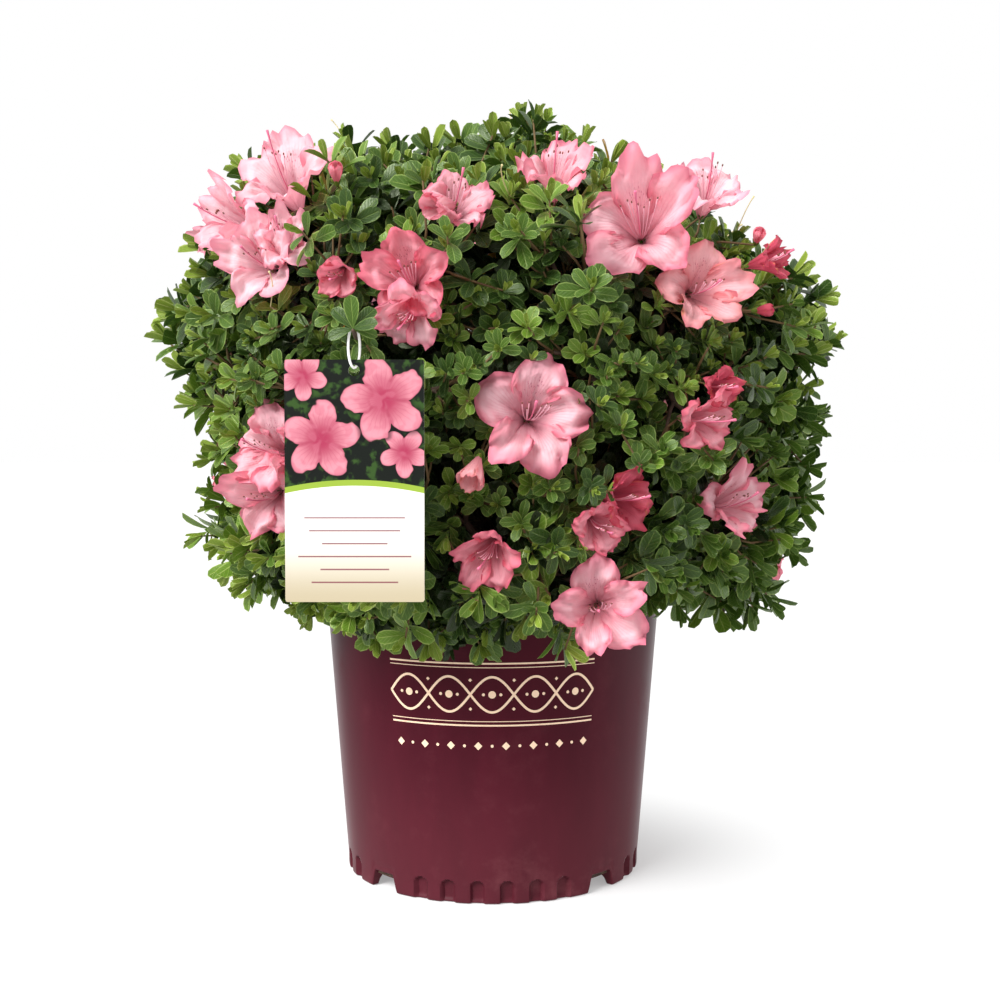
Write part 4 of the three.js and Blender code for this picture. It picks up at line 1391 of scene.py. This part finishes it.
def potProfile():
    lip = pot['lipRound']
    inner = pot['lipRadius'] - pot['lipThickness']
    edge = potForm['footEdge']
    footTop = potForm['footTop']
    small = potForm['rounding']
    floorEdge = pot['footRadius'] - pot['footWidth']
    points = [(0, 0), (pot['padRadius'] / 2, 0), (pot['padRadius'], 0)]
    points += [(pot['padRadius'] + pot['floorSlope'], pot['floorLift'])]
    points += [(floorEdge - pot['floorSlope'], pot['floorLift']), (floorEdge, 0)]
    points += arc((pot['footRadius'] - edge, edge), edge, -90, 0, 4)
    points += [(wallRadius(z), z) for z in np.linspace(edge * 2, footTop, potForm['footRows'])]
    points += [(wallRadius(z), z) for z in np.linspace(footTop, lipBottom - small, potForm['wallRows'])[1:]]
    points += arc((pot['rimRadius'] + small, lipBottom - small), small, 180, 90, 3)[1:]
    points += arc((pot['lipRadius'] - lip, lipBottom + lip), lip, -90, 0, 5)
    points += [(pot['lipRadius'], pot['height'] - lip - potForm['lipDrop'])]
    points += arc((pot['lipRadius'] - lip, pot['height'] - lip), lip, 0, 90, 6)
    points += arc((inner + small, pot['height'] - small), small, 90, 180, 3)
    points += [(inner, lipBottom), (pot['rimRadius'] - pot['wall'], lipBottom - pot['lipRound'])]
    points += [(pot['footRadius'] - pot['wall'], pot['floorLift'] + pot['wall'])]
    points += [(pot['padRadius'], pot['floorLift'] + pot['wall']), (pot['padRadius'] - pot['wall'], pot['wall'])]
    return points + [(0, pot['wall'])]


def shapeFoot(vert):
    x, y, z = vert.co
    form = potForm
    radius = math.hypot(x, y)
    if radius < pot['footRadius'] - pot['footWidth'] - form['rounding'] or z > form['shapeBelow']:
        return
    turn = math.atan2(y, x)
    quarter = 360 / pot['notches']
    fromFoot = (math.degrees(turn) + quarter / 2) % quarter - quarter / 2  # from the middle of the nearest foot
    fromNotch = quarter / 2 - abs(fromFoot)
    if radius > wallRadius(z) - form['skin']:
        near = min(abs(fromFoot - angle) for angle in form['fluteAngles'])
        intoArch = max(0, (z - (form['fluteHeight'] - form['archHeight'])) / form['archHeight'])
        arch = math.sqrt(max(0, 1 - intoArch ** 2))
        half = form['fluteHalf'] * arch
        cut = (1 - rise(near, half * form['fluteFloor'], half + form['fluteEdge'])) * (arch > 0)
        radius -= form['fluteDepth'] * cut * (1 - form['toeShare'] * rise(form['toe'] - z, 0, form['toe']))
        radius += form['swell'] * (1 - rise(z, *form['swellBetween'])) * (1 - cut)
    halfNotch = math.degrees(pot['notchWidth'] / 2 / pot['footRadius'])
    slope = form['notchSlope']
    high = pot['notchHeight'] * (1 - rise(fromNotch, halfNotch - slope, halfNotch + slope))
    top = form['squeezeBelow']
    z = high + z * (top - high) / top if z < top else z
    vert.co = (radius * math.cos(turn), radius * math.sin(turn), z)


potDetail = {
    'low': (60, 9, 23), 'high': (68, 12, 27), 'dust': (150, 92, 96), 'roughness': 0.40, 'gloss': 0.08,
    'coat': 0.6, 'coatFrom': 0.62, 'coatRoughness': 0.42,
}


def potFinish():
    detail = potDetail
    finish = Finish('burgundyPlastic', Specular_IOR_Level=detail['gloss'], Coat_Roughness=detail['coatRoughness'])
    place = finish.place()
    x, y, z = finish.axes(place)
    skin = finish.stir(place, 900, 3, 0.6)
    smear = finish.stir(finish.vector(x * 9, y * 9, z * 2.2), 3, 4, 0.6)
    dust = finish.stir(place, 26, 5, 0.7).rise(0.50, 0.78)
    # dust lies in patches, thicker near the ground
    dusty = dust * (0.05 + z.rise(0.05, 0.0) * 0.12) + z.rise(0.16, 0.0) * 0.07
    finish.feed('Base Color', finish.layered(
        paint(*detail['low']), (smear.rise(0.3, 0.7), paint(*detail['high'])), (dusty, paint(*detail['dust']))))
    finish.feed('Roughness', detail['roughness'] + smear * 0.10 + dust * 0.10)
    # a sheen towards the sides, where the wall turns away
    grazing = finish.add('ShaderNodeLayerWeight', None, {'Blend': 0.5}, 'Facing')
    finish.feed('Coat Weight', grazing.rise(detail['coatFrom'], 1.0) * detail['coat'])
    finish.bump(skin + smear * 0.6, 0.10, 0.0003)
    return finish


def spun(bm, geometry, steps):
    # once round the Z axis
    bmesh.ops.spin(bm, geom=geometry, axis=(0, 0, 1), cent=(0, 0, 0), angle=math.tau, steps=steps, use_merge=True)
    bmesh.ops.remove_doubles(bm, verts=bm.verts, dist=1e-6)
    return bm


def turned(profile, steps):
    # profile: radii and heights
    bm = bmesh.new()
    verts = [bm.verts.new((radius, 0, z)) for radius, z in profile]
    return spun(bm, verts + [bm.edges.new(pair) for pair in zip(verts, verts[1:])], steps)


def makePot():
    bm = turned(potProfile(), potForm['turns'])
    for vert in bm.verts:
        shapeFoot(vert)
    modelPiece('potShell', bm, [potFinish()], ['pot'], math.radians(potForm['smoothBelow']))


makePot()
print('pot done')


# Ornament on the pot: a braid with dots between rules, and a row of lozenges under it
ornament = {
    'middle': 0.155, 'halfWidth': 0.078, 'ruleGap': 0.045, 'rule': 0.0012, 'loops': 5, 'braid': 0.0128,
    'ribbon': 0.0017, 'dot': 0.0027, 'smallDot': 0.0011, 'lowDrop': 0.015, 'lowCount': 15, 'lowStep': 0.0102,
    'innerRule': 0.435, 'innerWidth': 0.45, 'dotAside': 0.0062, 'between': 0.82, 'betweenSize': 1.2,
    'lozenge': 0.0030, 'steps': 160,
    'proud': 0.00018, 'over': 0.00010, 'sunk': 0.0002,
    'ink': (238, 206, 176), 'worn': (214, 172, 146),
}


def addDot(bm, x, z, size, segments):
    # four segments make a lozenge
    made = bmesh.ops.create_circle(bm, cap_ends=True, segments=segments, radius=size)['verts']
    for vert in made:
        vert.co = (x + vert.co.x, 0, z + vert.co.y)


def addRibbon(bm, heightAt, half, thick, over=0.0):
    # a strip along the curve z = heightAt(x), over others by a little
    made = bmesh.ops.create_grid(bm, x_segments=ornament['steps'], y_segments=1, size=1)['verts']
    for vert in made:
        x, side = vert.co.x * half, vert.co.y * thick / 2
        slope = Vector((0.0002, heightAt(x + 0.0001) - heightAt(x - 0.0001))).normalized()
        vert.co = (x - slope.y * side, over, heightAt(x) + slope.x * side)


def wrapOnPot(bm):
    # front faces stand a little proud of the wall, back faces sink in it
    made = bmesh.ops.extrude_face_region(bm, geom=bm.faces[:])['geom']
    raised = {vert for vert in made if isinstance(vert, bmesh.types.BMVert)}
    for vert in bm.verts:
        radius = wallRadius(vert.co.z) + (ornament['proud'] + vert.co.y if vert in raised else -ornament['sunk'])
        turn = math.radians(-90) + vert.co.x / wallRadius(ornament['middle'])
        vert.co = (radius * math.cos(turn), radius * math.sin(turn), vert.co.z)


def makeOrnament():
    bm = bmesh.new()
    middle, half, gap, small = (ornament[key] for key in ('middle', 'halfWidth', 'ruleGap', 'smallDot'))

    def swing(x):
        return ornament['braid'] * math.cos(x / half * math.pi * ornament['loops'] / 2)

    for sign in (1, -1):
        outer, inner = middle + sign * gap / 2, middle + sign * gap * ornament['innerRule']
        addRibbon(bm, lambda x: outer, half, ornament['rule'])
        addRibbon(bm, lambda x: inner, half, ornament['rule'] * ornament['innerWidth'])
        addRibbon(bm, lambda x: middle + sign * swing(x), half, ornament['ribbon'], ornament['over'] * (sign > 0))
    step = 2 * half / ornament['loops']
    between = ornament['braid'] * ornament['between']
    for i in range(ornament['loops']):
        x = (i - (ornament['loops'] - 1) / 2) * step
        addDot(bm, x, middle, ornament['dot'], 24)
        for sign in (-1, 1):
            addDot(bm, x + sign * ornament['dotAside'], middle, small, 16)
            if i:
                addDot(bm, x - step / 2, middle + sign * between, small * ornament['betweenSize'], 4)
    low = middle - gap / 2 - ornament['lowDrop']
    for i in range(ornament['lowCount']):
        x = (i - (ornament['lowCount'] - 1) / 2) * ornament['lowStep']
        addDot(bm, x, low, *((small, 16) if i % 2 else (ornament['lozenge'], 4)))
    wrapOnPot(bm)
    finish = Finish('creamInk')
    wear = finish.stir(finish.place(), 160, 4, 0.6)
    colour = finish.mix(wear.rise(0.55, 0.8), paint(*ornament['ink']), paint(*ornament['worn']))
    finish.feed('Base Color', colour)
    finish.feed('Roughness', 0.5 + wear * 0.15)
    modelPiece('potOrnament', bm, [finish], ['pot'])


makeOrnament()
print('ornament done')


# Potting mix: a lumpy top with chips of bark on it
mix = {
    'sideGap': 0.0006, 'footGap': 0.0004, 'floorGap': 0.0003, 'rings': 26, 'turns': 120, 'smoothBelow': 80,
    'lump': 0.0022, 'lumpGrain': 60, 'lumpDrop': 0.3,
    'chips': 520, 'seed': 23, 'chipInset': 0.006, 'chipBevel': 0.16, 'chipLength': (0.004, 0.013),
    'chipWidth': (0.35, 0.6), 'chipThick': (0.0012, 0.0012), 'chipHigh': (0.0006, 0.001), 'chipTilt': 0.5,
    # darker and lighter colour, and how fine the grain is
    'soilPaint': ((44, 30, 22), (82, 58, 42), 130), 'chipPaint': ((70, 48, 34), (128, 96, 70), 260),
}


def mixFinish(name, low, high, scale):
    finish = Finish(name)
    place = finish.place()
    clods = finish.stir(place, scale, 6, 0.7)
    crumbs = finish.cells(place, scale * 2.4)
    finish.feed('Base Color', finish.mix(clods.rise(0.35, 0.7), paint(*low), paint(*high)))
    finish.feed('Roughness', 0.88 + clods * 0.1)
    finish.bump(clods + crumbs * 0.5, 0.9, 0.002)
    return finish


def makeMix():
    edge = wallRadius(mixTop) - pot['wall'] - mix['sideGap']
    foot = pot['footRadius'] - pot['wall'] - mix['footGap']
    floorTop = pot['floorLift'] + pot['wall'] + mix['floorGap']
    rings = [(edge * (1 - i / mix['rings']), mixTop) for i in range(mix['rings'] + 1)]
    bm = turned([(0, floorTop), (foot, floorTop)] + rings, mix['turns'])
    for vert in bm.verts:
        if vert.co.z > mixTop - 0.001:
            vert.co.z += mix['lump'] * (noise.fractal(vert.co * mix['lumpGrain'], 1.0, 2.0, 3) - mix['lumpDrop'])
    modelPiece('mixSurface', bm, [mixFinish('composted', *mix['soilPaint'])],
               ['potting_mix'], math.radians(mix['smoothBelow']))

    draw = seededRandom(mix['seed'])
    chip = bmesh.new()
    bmesh.ops.create_cube(chip, size=1)
    bmesh.ops.bevel(chip, geom=chip.edges[:], offset=mix['chipBevel'], segments=1, profile=0.5, affect='EDGES',
                    material=-1)
    chipPart = partOf(chip, lambda face, loop: (loop.vert.co.x + 0.5, loop.vert.co.y + 0.5))
    places = []
    for i in range(mix['chips']):
        radius = (edge - mix['chipInset']) * math.sqrt((i + 0.5) / mix['chips'])
        turn = goldenAngle * i
        length = lerp(*mix['chipLength'], draw() ** 2)
        thin, thicker = mix['chipThick']
        size = Vector((length, length * lerp(*mix['chipWidth'], draw()), thin + thicker * draw()))
        tilt = Quaternion((draw() - 0.5, draw() - 0.5, 0), mix['chipTilt'] * draw())
        turnMatrix = np.array((tilt @ Quaternion(up, draw() * math.tau)).to_matrix())
        low, higher = mix['chipHigh']
        place = [radius * math.cos(turn), radius * math.sin(turn), mixTop + low + higher * draw()]
        places.append((chipPart['places'] * np.array(size[:])) @ turnMatrix.T + place)
    makePiece('barkChips', [copies(chipPart, np.array(places))], mixFinish('chipBark', *mix['chipPaint']),
              ['potting_mix'])


makeMix()
print('potting mix done')


# Hang tag: a card with a hole, a printed front with plain motifs, and its loop
tagPrint = {
    'panel': 0.072,  # height of the line between the picture and the plain part
    'bow': 2.6,  # that line is curved
    'band': 0.0036, 'ruleGap': 0.0078, 'ruleHalf': 0.026, 'ruleUneven': 0.008,
    'rulesFrom': 0.008, 'rulesTo': 0.0524, 'sharp': 0.0001,
    'lobes': 5, 'lobeDepth': 0.44, 'veins': 35, 'crinkle': 0.16,
    # across, height, size and turn of each bloom
    'blooms': ((0.030, 0.090, 0.0150, 2.2), (-0.031, 0.136, 0.0150, 0.9), (-0.020, 0.098, 0.0240, 0.4),
               (0.018, 0.122, 0.0260, 1.3)),
}
tagPaints = {
    'ground': (8, 14, 8), 'foliage': (44, 70, 26), 'shade': (4, 6, 4),
    'heart': (150, 46, 74), 'petal': (200, 130, 142), 'seam': (150, 58, 80), 'patch': (176, 94, 112),
    'vein': (158, 66, 90), 'margin': (172, 82, 102),
    'paper': (228, 226, 220), 'lowPaper': (172, 160, 134), 'rule': (112, 44, 62), 'band': (134, 158, 54),
}
# two whites, how fine their grain is, roughness and how much that changes
whites = {
    'card': ((244, 242, 236), (236, 233, 226), 1500, 0.42, 0.06),
    'loop': ((248, 248, 246), (234, 234, 230), 700, 0.28, 0.1),
}


def plainFinish(name, below, above, grainScale, roughness, change):
    finish = Finish(name)
    grain = finish.stir(finish.place(), grainScale, 2)
    finish.feed('Base Color', finish.mix(grain, paint(*below), paint(*above)))
    finish.feed('Roughness', roughness + grain * change)
    return finish


def printBlooms(finish, across, height, paints, picture):
    crinkle = finish.stir(finish.place(), 130, 1) - 0.5
    for bloomX, bloomZ, size, start in tagPrint['blooms']:
        beside, above = across - bloomX, height - bloomZ
        far = (beside * beside + above * above) ** 0.5 / size + crinkle * tagPrint['crinkle']
        turn = above.math('ARCTAN2', above, beside)
        lobes = abs(((turn + start + crinkle * 0.3) * (tagPrint['lobes'] / 2)).sin())
        edge = far - (1 - tagPrint['lobeDepth']) - lobes * tagPrint['lobeDepth']
        veins = abs(((turn + start) * (tagPrint['veins'] / 2) + crinkle * 5).sin())
        bloom = finish.layered(
            paints['heart'],
            (far.rise(0.1, 0.85), paints['petal']),
            (lobes.rise(0.40, 0.0) * 0.8, paints['seam']),
            (abs(crinkle).rise(0.04, 0.16) * 0.5, paints['patch']),
            (veins.rise(0.90, 1.0) * far.rise(0.95, 0.3) * 0.45, paints['vein']),
            (edge.rise(-0.10, 0.0) * 0.5, paints['margin']))
        picture = finish.layered(
            picture, (edge.rise(0.22, 0.0) * 0.7, paints['shade']), (edge.rise(0.02, -0.02), bloom))
    return picture


def printRules(finish, across, height, paints, paper):
    low, high, sharp, half = (tagPrint[key] for key in ('rulesFrom', 'rulesTo', 'sharp', 'ruleHalf'))
    row = (height - low) / tagPrint['ruleGap']
    line = abs(row % 1.0 - 0.5).rise(0.07, 0.05)
    within = height.rise(low - sharp, low + sharp) * height.rise(high + sharp, high - sharp)
    uneven = (row.floor() * 2.4).sin() * tagPrint['ruleUneven']
    short = (abs(across) + uneven).rise(half + sharp * 3, half)
    return finish.mix(line * within * short * 0.85, paper, paints['rule'])


def printFinish():
    finish = Finish('printedFront', Roughness=0.34, Specular_IOR_Level=0.2)
    x, y, z = finish.axes(finish.place())
    across = x - tag['x']
    height = z - tag['bottom']
    paints = painted(tagPaints)
    leafy = finish.stir(finish.place(), 150, 4).rise(0.48, 0.62)
    picture = finish.mix(leafy, paints['ground'], paints['foliage'])
    picture = printBlooms(finish, across, height, paints, picture)
    paper = finish.mix(height.rise(0.055, 0.0), paints['paper'], paints['lowPaper'])
    paper = printRules(finish, across, height, paints, paper)
    over = height - tagPrint['panel'] + across * across * tagPrint['bow']
    sharp, half = tagPrint['sharp'], tagPrint['band'] / 2
    finish.feed('Base Color', finish.layered(
        paper,
        (over.rise(-sharp * 2, sharp * 2), picture),
        (abs(over).rise(half + sharp, half - sharp), paints['band'])))
    return finish


def makeTag():
    half = tag['width'] / 2
    corner = tag['corner']
    bm = bmesh.new()
    outer = []
    for cx, cz, start in ((1, 1, 0), (-1, 1, 90), (-1, -1, 180), (1, -1, 270)):
        centre = (cx * (half - corner), cz * (tag['height'] / 2 - corner))
        outer += arc(centre, corner, start, start + 90, 5)
    holeMiddle = (0, tag['height'] / 2 - tag['holeDrop'])
    inner = arc(holeMiddle, tag['hole'], 0, 360, 28)[:-1]
    edges = []
    for ring in (outer, inner):
        verts = [bm.verts.new((x, 0, z)) for x, z in ring]
        edges += [bm.edges.new(pair) for pair in zip(verts, verts[1:] + verts[:1])]
    bmesh.ops.triangle_fill(bm, use_beauty=True, use_dissolve=False, edges=edges, normal=(0, -1, 0))
    flat = bm.faces[:]
    made = bmesh.ops.extrude_face_region(bm, geom=flat)['geom']
    raised = [vert for vert in made if isinstance(vert, bmesh.types.BMVert)]
    bmesh.ops.translate(bm, verts=raised, vec=(0, -tag['thickness'], 0))
    middle = tag['bottom'] + tag['height'] / 2
    bmesh.ops.translate(bm, verts=bm.verts, vec=(tag['x'], tag['y'] + tag['thickness'] / 2, middle))
    bm.normal_update()
    for face in bm.faces:
        face.material_index = int(abs(face.normal.y) > 0.9 and face.calc_center_median().y < tag['y'])
    card = plainFinish('whiteCard', *whites['card'])
    modelPiece('tagCard', bm, [card, printFinish()], ['tag'])


def makeLoop():
    # a ring of radius 1 with a wire of radius 0.1, then drawn out to the loop's oval
    bm = bmesh.new()
    wire = 0.1
    upright = Matrix.Rotation(math.pi / 2, 4, 'X')
    made = bmesh.ops.create_circle(bm, segments=12, radius=wire, matrix=Matrix.Translation((1, 0, 0)) @ upright)
    spun(bm, made['verts'] + bm.edges[:], 64)
    place = Matrix.Translation(loopMiddle) @ Matrix.Rotation(math.radians(loop['turn']), 4, 'Z') @ upright
    for vert in bm.verts:
        far = math.hypot(vert.co.x, vert.co.y)
        x, y = vert.co.x / far, vert.co.y / far
        outward = Vector((x / loop['width'], y / loop['height'], 0)).normalized()
        spot = Vector((x * loop['width'] / 2, y * loop['height'] / 2, 0))
        spot += outward * ((far - 1) / wire * loop['wire'])
        vert.co = place @ Vector((spot.x, spot.y, vert.co.z / wire * loop['wire']))
    white = plainFinish('whiteLoop', *whites['loop'])
    modelPiece('tagLoop', bm, [white], ['tag_loop'], math.radians(60))


makeTag()
makeLoop()
print('tag and loop done')
